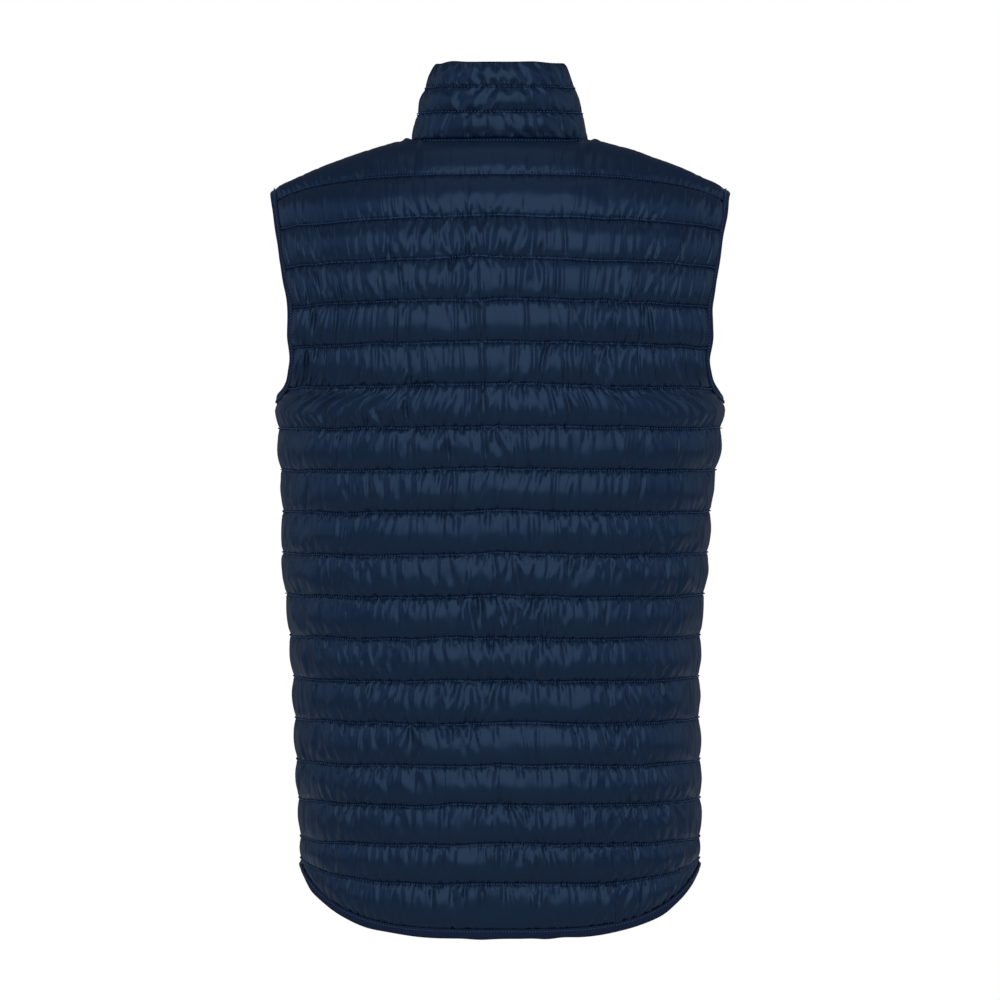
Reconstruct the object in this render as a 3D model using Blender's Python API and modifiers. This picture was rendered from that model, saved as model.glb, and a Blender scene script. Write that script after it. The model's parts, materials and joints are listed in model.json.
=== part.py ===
"""A quilted, padded vest with a stand collar and a full front zip, in the hollow form it has when worn.

Metres, +Z up. The wearer faces -Y and their left is +X. The origin lies midway between the two neck points,
on the line of the shoulders, where the wearer carries the vest.
"""

import math

import bmesh
import bpy
import numpy as np
from mathutils import Matrix, Vector

BACK = 1
FRONT = -1

# Driving sizes, in metres
SEAM_GAP = 0.0003
WALL = 0.0025
PUFF = 0.0048
PUFF_ROUNDNESS = 0.6
FLAT_EDGE = 0.35
BINDING_WIDTH = 0.0070
BINDING_OUTSIDE = 0.0014
BINDING_INSIDE = -0.0034
ZIP_EDGE = 0.0075

# Quilting: fifteen lines at one pitch, then three closer ones, then the hem
FIRST_LINE = -0.0367
LINE_PITCH = 0.0371
LOW_PITCH = 0.0348
PITCH_CHANGE = 14
BACK_LINES = 18
FRONT_LINES = 17
BACK_HEM = -0.7013
FRONT_HEM = -0.6633
SIDE_HEM = -0.6493
BACK_LAST_LINE_AT_SIDE = -0.6450
HEM_POWER = 1.6
DROOP_POWER = 2.2
GATHER_POWER = 0.6
PUFF_STEPS = (0.2, 0.5, 0.8)
LEAST_ROW = 0.12
NECK_COLUMNS = {BACK: 5, FRONT: 6}
SHOULDER_COLUMNS = 7

# Shoulders: above this height the cloth turns inwards to the ridge
SHOULDER_START = -0.180
RIDGE_TOP = 0.0115
RIDGE_SLOPE = 0.09
RIDGE_CURVE = 0.95
RING_POWER = 2.3
SHOULDER_POWER = {BACK: 2.2, FRONT: 1.8}

# Neck seam and stand collar
NECK_HALF_WIDTH = 0.0785
NAPE = -0.002
FRONT_NECK_DROP = 0.062
FRONT_NECK_POWER = 0.6
COLLAR_CHANNELS = 3
COLLAR_TOP_HALF_WIDTH = 0.0575
COLLAR_TOP_MIDDLE = -0.004
COLLAR_TOP_BACK_DEPTH = 0.044
COLLAR_TOP_FRONT_DEPTH = 0.076
COLLAR_TOP_BACK = 0.0670
COLLAR_TOP_SIDE = 0.0685
COLLAR_TOP_FRONT = 0.0100
COLLAR_TOP_FALL = 1.6
COLLAR_PUFF = 0.0036
COLLAR_BOW = 0.0025
COLLAR_SEAM_GAP = 0.0008

# Zip: sideways places from the middle, and depths from the stitched lines, which are negative inwards
TAPE_NEAR = 0.0035
TAPE_FAR = 0.0108
TAPE_BACK = -0.0040
TAPE_FRONT = -0.0030
CHAIN_HALF_WIDTH = 0.0024
CHAIN_BACK = -0.0043
CHAIN_FRONT = -0.0015
BOX_WIDTH = 0.0090
BOX_LENGTH = 0.0060
BOX_FRONT = 0.0005
BOX_BEVEL = 0.0005
SLIDER_SHARE = 0.86
SLIDER_LENGTH = 0.0110
SLIDER_HEAD = 0.0090
SLIDER_FOOT = 0.0070
SLIDER_BACK = -0.0012
SLIDER_FRONT = 0.0026
SLIDER_BEVEL = 0.0008
BRIDGE_RADIUS = 0.0022
BRIDGE_THICKNESS = 0.0013
BRIDGE_ROOT = 0.0022
PIVOT_CLEARANCE = 0.0011
PULL_BAR = 0.0012
PULL_WIDTH = 0.0060
PULL_LENGTH = 0.0290
EYE_WIDTH = 0.0026
EYE_END = 0.0040

STEP = 1e-4


class Table:
    """A table with named columns, read between its rows along a smooth curve that never overshoots."""

    def __init__(self, columns, rows):
        ordered = np.array(sorted(rows), dtype=float)
        self.places = ordered[:, 0]
        self.values = {name: ordered[:, i] for i, name in enumerate(columns)}
        self.slopes = {name: self.slopes_of(column) for name, column in self.values.items()}

    def slopes_of(self, column):
        steps = np.diff(self.places)
        rates = np.diff(column) / steps
        slopes = np.zeros(len(column))
        slopes[0] = rates[0]
        slopes[-1] = rates[-1]
        for i in range(1, len(column) - 1):
            if rates[i - 1] * rates[i] > 0:
                before = 2 * steps[i] + steps[i - 1]
                after = steps[i] + 2 * steps[i - 1]
                slopes[i] = (before + after) / (before / rates[i - 1] + after / rates[i])
        return slopes

    def read(self, name, at):
        at = np.clip(np.asarray(at, dtype=float), self.places[0], self.places[-1])
        k = np.clip(np.searchsorted(self.places, at) - 1, 0, len(self.places) - 2)
        step = self.places[k + 1] - self.places[k]
        t = (at - self.places[k]) / step
        low, high = self.values[name][k], self.values[name][k + 1]
        leave, arrive = self.slopes[name][k] * step, self.slopes[name][k + 1] * step
        ease = t * t * (3 - 2 * t)
        return low + (high - low) * ease + leave * t * (1 - t) ** 2 - arrive * t * t * (1 - t)


# Horizontal rings of the body, at the stitched lines. The topmost ring also passes round the arms.
RINGS = Table(
    ("height", "half_width", "back_depth", "front_depth", "lean"),
    (
        (-0.180, 0.2155, 0.1125, 0.1180, 0.0000),
        (-0.240, 0.1990, 0.1140, 0.1190, 0.0000),
        (-0.276, 0.1970, 0.1130, 0.1190, 0.0005),
        (-0.320, 0.1915, 0.1110, 0.1170, 0.0025),
        (-0.380, 0.1895, 0.1080, 0.1140, 0.0045),
        (-0.440, 0.1835, 0.1060, 0.1120, 0.0045),
        (-0.500, 0.1805, 0.1060, 0.1125, 0.0030),
        (-0.560, 0.1800, 0.1075, 0.1135, 0.0015),
        (-0.620, 0.1785, 0.1060, 0.1120, 0.0000),
        (-0.665, 0.1780, 0.1020, 0.1080, 0.0000),
        (-0.710, 0.1750, 0.0975, 0.1040, 0.0000),
    ),
)

# How far round its ring each panel reaches: 1 is the side seam, less is the armhole's edge.
ARMHOLE = Table(
    ("height", "back", "front"),
    (
        (-0.2380, 1.000, 1.000),
        (-0.2340, 0.860, 0.850),
        (-0.2280, 0.770, 0.750),
        (-0.2180, 0.705, 0.675),
        (-0.1960, 0.640, 0.605),
        (-0.1600, 0.620, 0.585),
        (-0.1200, 0.660, 0.630),
        (-0.0800, 0.705, 0.690),
        (-0.0440, 0.750, 0.750),
    ),
)
UNDERARM_ROW = 5.5
UNDERARM_STEPS = (5.35, 5.44)

# Where each quilting line meets the armhole, which it reaches lower than it starts in the middle.
LINE_ENDS = ((-1.0, -0.0440), (0.0, -0.0565), (1.0, -0.0833), (2.0, -0.1186), (3.0, -0.1538),
             (4.0, -0.1897), (5.0, -0.2251), (UNDERARM_ROW, -0.2380), (6.0, -0.2593))


def signed_power(value, power):
    return np.sign(value) * np.abs(value) ** power


def unit(vectors):
    return vectors / np.linalg.norm(vectors, axis=-1, keepdims=True)


def ridge_height(x):
    return RIDGE_TOP - RIDGE_SLOPE * np.abs(x) - RIDGE_CURVE * x * x


def cloth(side, fraction, level):
    """A point of the cloth at the height of its stitched lines.

    fraction runs round a ring from the middle, 0, to the side, 1. Where level is negative it is the height
    over SHOULDER_START, and above that it is the share of the turn over the shoulder, 1 on the ridge.
    """
    height = SHOULDER_START + np.minimum(level, 0)
    turn = np.maximum(level, 0) * math.pi / 2
    depth = RINGS.read("back_depth" if side == BACK else "front_depth", height)
    angle = fraction * math.pi / 2
    x = RINGS.read("half_width", height) * signed_power(np.sin(angle), 2 / RING_POWER)
    turn_power = 2 / SHOULDER_POWER[side]
    y = depth * signed_power(np.cos(angle), 2 / RING_POWER) * signed_power(np.cos(turn), turn_power)
    z = height + (ridge_height(x) - SHOULDER_START) * signed_power(np.sin(turn), turn_power)
    return np.stack([x, side * (y + SEAM_GAP / 2), z], axis=-1)


def cloth_normal(side, fraction, level):
    across = cloth(side, fraction + STEP, level) - cloth(side, fraction - STEP, level)
    upward = cloth(side, fraction, level + STEP) - cloth(side, fraction, level - STEP)
    return unit(np.cross(upward, across)) * side


def fraction_of(x):
    """The ring fraction of a sideways place on the shoulders."""
    width = RINGS.read("half_width", SHOULDER_START)
    return np.arcsin((np.abs(x) / width) ** (RING_POWER / 2)) * 2 / math.pi


def level_of(side, fraction, height):
    width = RINGS.read("half_width", SHOULDER_START)
    x = width * np.sin(np.abs(fraction) * math.pi / 2) ** (2 / RING_POWER)
    rise = np.clip((height - SHOULDER_START) / (ridge_height(x) - SHOULDER_START), 0, 1)
    turn = np.arcsin(rise ** (SHOULDER_POWER[side] / 2)) * 2 / math.pi
    return np.where(height < SHOULDER_START, height - SHOULDER_START, turn)


def line_heights(side):
    """Heights of the quilting lines in the middle of a panel, with the hem last."""
    count = BACK_LINES if side == BACK else FRONT_LINES
    lines = [FIRST_LINE - LINE_PITCH * min(k, PITCH_CHANGE) - LOW_PITCH * max(k - PITCH_CHANGE, 0)
             for k in range(count)]
    return np.array(lines + [BACK_HEM if side == BACK else FRONT_HEM])


def side_heights(side):
    """Heights of the same lines at the panel's outer edge, as rows of (line, height)."""
    middles = line_heights(side)
    ends = list(LINE_ENDS)
    ends += [(float(k), middles[k]) for k in range(7, len(middles) - 1)]
    if side == BACK:
        ends[-1] = (ends[-1][0], BACK_LAST_LINE_AT_SIDE)
    ends.append((float(len(middles) - 1), SIDE_HEM))
    return np.array(ends)


def row_height(side, u, row):
    middles = line_heights(side)
    ends = side_heights(side)
    middle = np.interp(row, np.arange(len(middles)), middles)
    end = np.interp(row, ends[:, 0], ends[:, 1])
    droop = np.abs(u) ** DROOP_POWER
    hem_rise = np.sin(np.abs(u) ** HEM_POWER * math.pi / 2) ** 2
    return middle + (end - middle) * np.where(row > PITCH_CHANGE, hem_rise, droop)


def row_fraction(side, u, row):
    ends = side_heights(side)
    end = np.interp(row, ends[:, 0], ends[:, 1])
    reach = ARMHOLE.read("back" if side == BACK else "front", end)
    gathered = u * (1 - (1 - reach) * np.abs(u) ** GATHER_POWER)
    if side == BACK:
        return gathered
    middles = line_heights(side)
    height = np.interp(row, np.arange(len(middles)), middles)
    width = RINGS.read("half_width", np.minimum(height, SHOULDER_START))
    start = np.arcsin((ZIP_EDGE / width) ** (RING_POWER / 2)) * 2 / math.pi
    return start * (1 - u) + gathered


def neck_height(side, x):
    share = np.clip(np.abs(x) / NECK_HALF_WIDTH, 0, 1)
    point = ridge_height(NECK_HALF_WIDTH)
    if side == BACK:
        return NAPE + (point - NAPE) * share ** 4
    return point - FRONT_NECK_DROP * (1 - share ** 2) ** FRONT_NECK_POWER


def panel_place(side, u, row):
    """Ring fraction and level of a place on a panel: u across it, row down it in quilting lines from 0."""
    fraction = row_fraction(side, u, row)
    level = level_of(side, fraction, row_height(side, u, np.maximum(row, 0)))
    x = RINGS.read("half_width", SHOULDER_START) * np.sin(np.abs(fraction) * math.pi / 2) ** (2 / RING_POWER)
    top = np.ones_like(level)
    if side == BACK:
        neck = level_of(side, fraction, neck_height(side, x))
        top = np.where(x < NECK_HALF_WIDTH, neck, 1.0)
    return fraction, level + (top - level) * np.clip(-row, 0, 1)


def channel_puff(side, u, row):
    """Height of the padding over the stitched lines, at its fullest midway between two lines."""
    share = row - np.floor(row)
    above = row_height(side, u, np.maximum(np.floor(row), 0))
    below = row_height(side, u, np.maximum(np.floor(row), 0) + 1)
    fullness = np.clip((above - below) / LINE_PITCH, 0, 1)
    return PUFF * fullness * np.sin(share * math.pi) ** PUFF_ROUNDNESS


def edge_taper(side, u):
    at_edge = (np.abs(u) > 1 - STEP) | ((side == FRONT) & (np.abs(u) < STEP))
    return np.where(at_edge, FLAT_EDGE, 1.0)


def panel_points(side, u, rows):
    """Outer and inner points of one column of a panel."""
    rows = np.array(rows, dtype=float)
    fraction, level = panel_place(side, u, rows)
    seam = cloth(side, fraction, level)
    normal = cloth_normal(side, fraction, level)
    puff = channel_puff(side, u, rows) * edge_taper(side, u)
    return seam + normal * puff[:, None], seam - normal * WALL


def halve(low, high, is_low):
    """The place between low and high where is_low turns from true to false."""
    for _ in range(40):
        middle = (low + high) / 2
        if is_low(middle):
            low = middle
        else:
            high = middle
    return high


def neck_row(u):
    """Where the front neckline cuts a column: above it the column has no cloth."""

    def over_neckline(row):
        fraction, level = panel_place(FRONT, u, row)
        x, _, z = cloth(FRONT, fraction, level)
        return z > neck_height(FRONT, x)

    return halve(-1.0, 2.0, over_neckline)


def neck_columns(side):
    """Panel columns from the middle to the neck point, closer together where the front neckline is steep."""
    middle = 0.0 if side == BACK else ZIP_EDGE
    columns = [0.0]
    for j in range(1, NECK_COLUMNS[side] + 1):
        x = middle + (NECK_HALF_WIDTH - middle) * math.sin(math.pi / 2 * j / NECK_COLUMNS[side])
        columns.append(halve(0.0, 1.0, lambda u: row_fraction(side, u, -1.0) < fraction_of(x)))
    return columns


def panel_columns(side):
    """All columns of a panel: from armhole to armhole at the back, from the zip to the armhole in front."""
    columns = neck_columns(side)
    neck = columns[-1]
    columns += [neck + (1 - neck) * j / SHOULDER_COLUMNS for j in range(1, SHOULDER_COLUMNS + 1)]
    if side == BACK:
        return [-u for u in reversed(columns[1:])] + columns
    return columns


def column_top(side, u):
    at_neck = side == FRONT and u < neck_columns(FRONT)[-1] - STEP
    return neck_row(u) if at_neck else -1.0


def rows_of(side, top, fine):
    """Rows of a column from the hem up: every line, the steps between lines if it is fine, and the top."""
    last = len(line_heights(side)) - 1
    rows = [float(line) for line in range(-1, last + 1)]
    if fine:
        rows += [line + step for line in range(-1, last) for step in PUFF_STEPS] + list(UNDERARM_STEPS)
    return [row for row in sorted(rows, reverse=True) if row > top + LEAST_ROW] + [top]


class Body:
    """A mesh built up point by point, and its faces in the order they are added."""

    def __init__(self):
        self.points = []
        self.faces = []

    def add_chain(self, points, rows=()):
        """A row of new points. Where it is one column of a sheet, it keeps each point's row."""
        start = len(self.points)
        self.points += [tuple(point) for point in points]
        chain = list(range(start, len(self.points)))
        return list(zip(rows, chain)) if rows else chain

    def strip(self, left, right, flip=False):
        """Faces between two columns, from one row that both have to the next, and up to both their tops."""
        shared = [row for row, _ in left[:-1] if row in dict(right[:-1])]
        left_stops = [i for i, (row, _) in enumerate(left[:-1]) if row in shared] + [len(left) - 1]
        right_stops = [i for i, (row, _) in enumerate(right[:-1]) if row in shared] + [len(right) - 1]
        for k in range(len(shared)):
            near = [point for _, point in left[left_stops[k]:left_stops[k + 1] + 1]]
            far = [point for _, point in right[right_stops[k]:right_stops[k + 1] + 1]]
            self.face(far + near[::-1], flip)

    def face(self, ring, flip=False):
        self.faces.append(ring[::-1] if flip else ring)

    def make(self, name, material, group):
        leaning = [(x + float(RINGS.read("lean", z)), y, z) for x, y, z in self.points]
        mesh = bpy.data.meshes.new(name)
        mesh.from_pydata(leaning, [], self.faces)
        mesh.materials.append(material)
        shape = bmesh.new()
        shape.from_mesh(mesh)
        bmesh.ops.recalc_face_normals(shape, faces=shape.faces)
        shape.to_mesh(mesh)
        shape.free()
        mesh.shade_smooth()
        mesh.set_sharp_from_angle(angle=math.radians(40))
        item = bpy.data.objects.new(name, mesh)
        group.objects.link(item)
        return item


def close_wall(body, outers, inners):
    """Joins an outer and an inner sheet of columns into one closed wall."""
    for j in range(len(outers) - 1):
        body.strip(outers[j], outers[j + 1])
        body.strip(inners[j], inners[j + 1], True)
        for end in (0, -1):
            rim = [outers[j][end], inners[j][end], inners[j + 1][end], outers[j + 1][end]]
            body.face([point for _, point in rim], end == -1)
    body.strip(inners[0], outers[0])
    body.strip(outers[-1], inners[-1])


def build_panel(name, side, mirror, material, group):
    body = Body()
    outers, inners = [], []
    for u in panel_columns(side):
        top = column_top(side, u)
        rows = rows_of(side, top, True)
        lines = rows_of(side, top, abs(u) > 1 - STEP)
        outer = panel_points(side, u, rows)[0]
        inner = panel_points(side, u, lines)[1]
        outer[:, 0] *= mirror
        inner[:, 0] *= mirror
        outers.append(body.add_chain(outer, rows))
        inners.append(body.add_chain(inner, lines))
    close_wall(body, outers, inners)
    return body.make(name, material, group)


def neck_seam():
    """Points where half of the collar is sewn on, one for each panel column from the nape to the zip."""
    places = [(BACK, u) for u in neck_columns(BACK)[:-1]]
    places += [(FRONT, u) for u in reversed(neck_columns(FRONT))]
    points = []
    for side, u in places:
        fraction, level = panel_place(side, u, column_top(side, u))
        points.append(cloth(side, fraction, level) + np.array([0, 0, COLLAR_SEAM_GAP]))
    return points


def collar_edge():
    """Points of half of the collar's top edge, over those of the neck seam."""
    points = []
    for j in range(NECK_COLUMNS[BACK]):
        angle = math.pi / 2 * j / NECK_COLUMNS[BACK]
        x = COLLAR_TOP_HALF_WIDTH * math.sin(angle)
        y = COLLAR_TOP_MIDDLE + COLLAR_TOP_BACK_DEPTH * math.cos(angle)
        z = COLLAR_TOP_BACK + (COLLAR_TOP_SIDE - COLLAR_TOP_BACK) * math.sin(angle) ** 2
        points.append(np.array([x, y, z]))
    for j in range(NECK_COLUMNS[FRONT] + 1):
        angle = math.pi / 2 * j / NECK_COLUMNS[FRONT]
        x = ZIP_EDGE + (COLLAR_TOP_HALF_WIDTH - ZIP_EDGE) * math.cos(angle)
        y = COLLAR_TOP_MIDDLE - COLLAR_TOP_FRONT_DEPTH * math.sin(angle)
        z = COLLAR_TOP_SIDE + (COLLAR_TOP_FRONT - COLLAR_TOP_SIDE) * math.sin(angle) ** COLLAR_TOP_FALL
        points.append(np.array([x, y, z]))
    return points


def both_halves(points):
    """Points from the right of the zip round the back to its left, given those of the left half."""
    mirror = np.array([-1, 1, 1])
    return np.array([point * mirror for point in reversed(points[1:])] + list(points))


def build_collar(material, group):
    lows, highs = both_halves(neck_seam()), both_halves(collar_edge())
    lines = [float(channel) for channel in range(COLLAR_CHANNELS + 1)]
    rows = sorted(lines + [line + step for line in lines[:-1] for step in PUFF_STEPS])
    tapers = np.ones((len(lows), 1))
    tapers[[0, -1]] = FLAT_EDGE
    outer, inner = [], []
    for row in rows:
        rise = row / COLLAR_CHANNELS
        middles = lows + (highs - lows) * rise
        normals = unit(np.cross(highs - lows, np.gradient(middles, axis=0)))
        bow = COLLAR_BOW * math.sin(math.pi * rise) * (tapers > FLAT_EDGE)
        puff = COLLAR_PUFF * tapers * math.sin((row % 1) * math.pi) ** PUFF_ROUNDNESS
        outer.append(middles + normals * (bow + puff))
        if row in lines:
            inner.append(middles + normals * (bow - WALL))
    body = Body()
    outers = [body.add_chain([ring[j] for ring in outer], rows) for j in range(len(lows))]
    inners = [body.add_chain([ring[j] for ring in inner], lines) for j in range(len(lows))]
    close_wall(body, outers, inners)
    return body.make("collar", material, group)


def sweep(name, centres, outs, normals, section, closed, material, group):
    """A band with one section, (out, up) pairs, carried along a path."""
    body = Body()
    rings = []
    for centre, out, normal in zip(centres, outs, normals):
        rings.append(body.add_chain([centre + out * a + normal * b for a, b in section]))
    count = len(rings)
    size = len(section)
    for i in range(count if closed else count - 1):
        this, following = rings[i], rings[(i + 1) % count]
        for k in range(size):
            body.face([this[k], this[(k + 1) % size], following[(k + 1) % size], following[k]])
    if not closed:
        body.face(rings[0][::-1])
        body.face(rings[-1])
    return body.make(name, material, group)


def binding_section():
    """A folded binding seen end on, as (out, up) pairs: square to the panel and rounded at its free edge."""
    shoulder = SEAM_GAP + BINDING_WIDTH * 0.75
    edge = SEAM_GAP + BINDING_WIDTH
    return ((SEAM_GAP, BINDING_INSIDE), (shoulder, BINDING_INSIDE), (edge, BINDING_INSIDE * 0.6),
            (edge, 0.0), (shoulder, BINDING_OUTSIDE), (SEAM_GAP, BINDING_OUTSIDE))


def path_directions(centres, normals, closed):
    """Directions in the cloth's surface, square to a path along its edge."""
    centres = np.array(centres)
    if closed:
        along = np.roll(centres, -1, axis=0) - np.roll(centres, 1, axis=0)
    else:
        along = np.gradient(centres, axis=0)
    return unit(np.cross(np.array(normals), unit(along)))


def edge_sample(side, row):
    fraction, level = panel_place(side, 1.0, row)
    return cloth(side, fraction, level), cloth_normal(side, fraction, level)


def build_armhole_binding(name, mirror, material, group):
    rows = [row for row in rows_of(BACK, -1.0, True) if row < UNDERARM_ROW - STEP]
    samples = [edge_sample(BACK, UNDERARM_ROW)] + [edge_sample(BACK, row) for row in rows]
    samples += [edge_sample(FRONT, row) for row in rows[-2::-1]]
    centres = np.array([centre for centre, _ in samples])
    normals = np.array([normal for _, normal in samples])
    for middle in (0, len(rows)):
        centres[middle, 1] = 0.0
    outs = path_directions(centres, normals, True)
    for array in (centres, normals, outs):
        array[:, 0] *= mirror
    return sweep(name, centres, outs, normals, binding_section(), True, material, group)


def build_hem_binding(material, group):
    """One strip from zip to zip, round the back."""
    back = [u for u in panel_columns(BACK) if u >= 0]
    front = panel_columns(FRONT)
    half = [(BACK, u) for u in back] + [(FRONT, u) for u in reversed(front[:-1])]
    centres, normals = [], []
    for side, u in half:
        fraction, level = panel_place(side, u, len(line_heights(side)) - 1.0)
        centres.append(cloth(side, fraction, level))
        normals.append(cloth_normal(side, fraction, level))
    centres[len(back) - 1][1] = 0.0
    centres, normals = both_halves(centres), both_halves(normals)
    outs = path_directions(centres, normals, False)
    return sweep("hem_binding", centres, outs, normals, binding_section(), False, material, group)


def zip_edge():
    """The left front's and collar's closed edge, from the hem up, and the lie of the cloth beside it."""
    top = column_top(FRONT, 0.0)
    beside = neck_columns(FRONT)[1]
    points, outs = [], []
    for row in rows_of(FRONT, top, False):
        edge = cloth(FRONT, *panel_place(FRONT, 0.0, row))
        beside_row = row if row > top else column_top(FRONT, beside)
        points.append(edge)
        outs.append(cloth(FRONT, *panel_place(FRONT, beside, beside_row)) - edge)
    lows, highs = neck_seam(), collar_edge()
    for share in (0.0, 1 / 3, 2 / 3, 1.0):
        edge = lows[-1] + (highs[-1] - lows[-1]) * share
        points.append(edge)
        outs.append(lows[-2] + (highs[-2] - lows[-2]) * share - edge)
    points, outs = np.array(points), unit(np.array(outs))
    along = np.gradient(points, axis=0)
    return points, outs, unit(np.cross(outs, along))


def zip_middle():
    """The line that the closed zip follows, midway between the fronts."""
    points, _, _ = zip_edge()
    points[:, 0] = 0.0
    outs = np.tile([1.0, 0.0, 0.0], (len(points), 1))
    return points, outs, unit(np.cross(outs, np.gradient(points, axis=0)))


def build_zip_tape(name, mirror, material, group):
    points, outs, normals = zip_edge()
    for array in (points, outs, normals):
        array[:, 0] *= mirror
    near, far = TAPE_NEAR - ZIP_EDGE, TAPE_FAR - ZIP_EDGE
    section = ((near, TAPE_BACK), (far, TAPE_BACK), (far, TAPE_FRONT), (near, TAPE_FRONT))
    return sweep(name, points, outs, normals, section, False, material, group)


def build_zip_chain(material, group):
    points, outs, normals = zip_middle()
    half = CHAIN_HALF_WIDTH
    section = ((-half, CHAIN_BACK), (half, CHAIN_BACK), (half, CHAIN_FRONT), (-half, CHAIN_FRONT))
    return sweep("zip_chain", points, outs, normals, section, False, material, group)


def zip_place(share):
    """A place on the collar's part of the zip line, and the tilt of that part."""
    low, high = neck_seam()[-1], collar_edge()[-1]
    point = low + (high - low) * share
    rise = high - low
    return Vector((0.0, point[1], point[2])), -math.atan2(rise[1], rise[2])


def tapered_block(name, bottom_width, top_width, low, high, back, front, bevel, material, group):
    """A rounded block whose width changes from its bottom to its top, in the zip's own directions."""
    mesh = bpy.data.meshes.new(name)
    shape = bmesh.new()
    bmesh.ops.create_cube(shape, size=1.0)
    for vert in shape.verts:
        width = top_width if vert.co.z > 0 else bottom_width
        vert.co.x *= width
        vert.co.y = -front if vert.co.y < 0 else -back
        vert.co.z = high if vert.co.z > 0 else low
    shape.to_mesh(mesh)
    shape.free()
    mesh.materials.append(material)
    item = bpy.data.objects.new(name, mesh)
    group.objects.link(item)
    rounding = item.modifiers.new("rounding", "BEVEL")
    rounding.width = bevel
    rounding.segments = 2
    return item


def build_slider_bridge(pivot_depth, guides):
    """The loop that the pull tab hangs from, as a guide solid to be joined to the slider."""
    curve = bpy.data.curves.new("slider_bridge", "CURVE")
    curve.dimensions = "3D"
    curve.bevel_depth = BRIDGE_THICKNESS / 2
    curve.bevel_resolution = 2
    curve.use_fill_caps = True
    root = BRIDGE_ROOT
    arc = [math.pi * k / 10 for k in range(11)]
    route = [(0, root, BRIDGE_RADIUS)]
    route += [(0, -BRIDGE_RADIUS * math.sin(angle), BRIDGE_RADIUS * math.cos(angle)) for angle in arc]
    route += [(0, root, -BRIDGE_RADIUS)]
    spline = curve.splines.new("POLY")
    spline.points.add(len(route) - 1)
    for point, (x, y, z) in zip(spline.points, route):
        point.co = (x, y - pivot_depth, z, 1)
    source = bpy.data.objects.new("slider_bridge_curve", curve)
    guides.objects.link(source)
    bpy.context.view_layer.update()
    mesh = bpy.data.meshes.new_from_object(source.evaluated_get(bpy.context.evaluated_depsgraph_get()))
    bpy.data.objects.remove(source, do_unlink=True)
    shape = bmesh.new()
    shape.from_mesh(mesh)
    bmesh.ops.remove_doubles(shape, verts=shape.verts, dist=1e-6)
    shape.to_mesh(mesh)
    shape.free()
    bridge = bpy.data.objects.new("slider_bridge", mesh)
    bridge.hide_render = True
    bridge.display_type = "WIRE"
    guides.objects.link(bridge)
    return bridge


def build_slider(material, group, guides):
    point, tilt = zip_place(SLIDER_SHARE)
    slider = tapered_block("zip_slider", SLIDER_FOOT, SLIDER_HEAD, -SLIDER_LENGTH / 2, SLIDER_LENGTH / 2,
                           SLIDER_BACK, SLIDER_FRONT, SLIDER_BEVEL, material, group)
    bridge = build_slider_bridge(SLIDER_FRONT + PIVOT_CLEARANCE, guides)
    for item in (slider, bridge):
        item.location = point
        item.rotation_euler = (tilt, 0, 0)
    union = slider.modifiers.new("bridge", "BOOLEAN")
    union.operation = "UNION"
    union.object = bridge
    return slider


def add_outline(curve, outline):
    spline = curve.splines.new("POLY")
    spline.points.add(len(outline) - 1)
    for point, (x, y) in zip(spline.points, outline):
        point.co = (x, y, 0, 1)
    spline.use_cyclic_u = True


def build_pull(material, group):
    """The flat pull tab, with an eye round the slider's bridge. Its origin is on the bar it swings on."""
    curve = bpy.data.curves.new("zip_pull", "CURVE")
    curve.dimensions = "2D"
    curve.fill_mode = "BOTH"
    curve.extrude = PULL_BAR / 2
    half = PULL_WIDTH / 2
    foot = PULL_BAR / 2 - PULL_LENGTH + half
    tip = [math.pi * k / 8 for k in range(9)]
    outline = [(half, PULL_BAR / 2), (-half, PULL_BAR / 2)]
    outline += [(-half * math.cos(angle), foot - half * math.sin(angle)) for angle in tip]
    add_outline(curve, outline)
    eye = EYE_WIDTH / 2
    add_outline(curve, [(-eye, -PULL_BAR / 2), (eye, -PULL_BAR / 2), (eye, -EYE_END), (-eye, -EYE_END)])
    curve.materials.append(material)
    pull = bpy.data.objects.new("zip_pull", curve)
    group.objects.link(pull)
    point, tilt = zip_place(SLIDER_SHARE)
    out = Matrix.Translation((0, -SLIDER_FRONT - PIVOT_CLEARANCE, 0))
    upright = Matrix.Rotation(math.pi / 2, 4, "X")
    pull.matrix_world = Matrix.Translation(point) @ Matrix.Rotation(tilt, 4, "X") @ out @ upright
    return pull


def build_zip_box(material, group):
    points, _, _ = zip_middle()
    rise = points[1] - points[0]
    box = tapered_block("zip_box", BOX_WIDTH, BOX_WIDTH, -SEAM_GAP - BOX_LENGTH, -SEAM_GAP,
                        CHAIN_BACK, BOX_FRONT, BOX_BEVEL, material, group)
    box.location = points[0]
    box.rotation_euler = (-math.atan2(rise[1], rise[2]), 0, 0)
    return box


def reset_scene():
    for item in list(bpy.data.objects):
        bpy.data.objects.remove(item, do_unlink=True)


def new_group(name):
    group = bpy.data.collections.new(name)
    bpy.context.scene.collection.children.link(group)
    return group


def new_material(name, colour, roughness, metallic=0.0):
    material = bpy.data.materials.new(name)
    material.use_nodes = True
    shader = material.node_tree.nodes["Principled BSDF"]
    shader.inputs["Base Color"].default_value = (*colour, 1.0)
    shader.inputs["Roughness"].default_value = roughness
    shader.inputs["Metallic"].default_value = metallic
    return material


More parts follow.
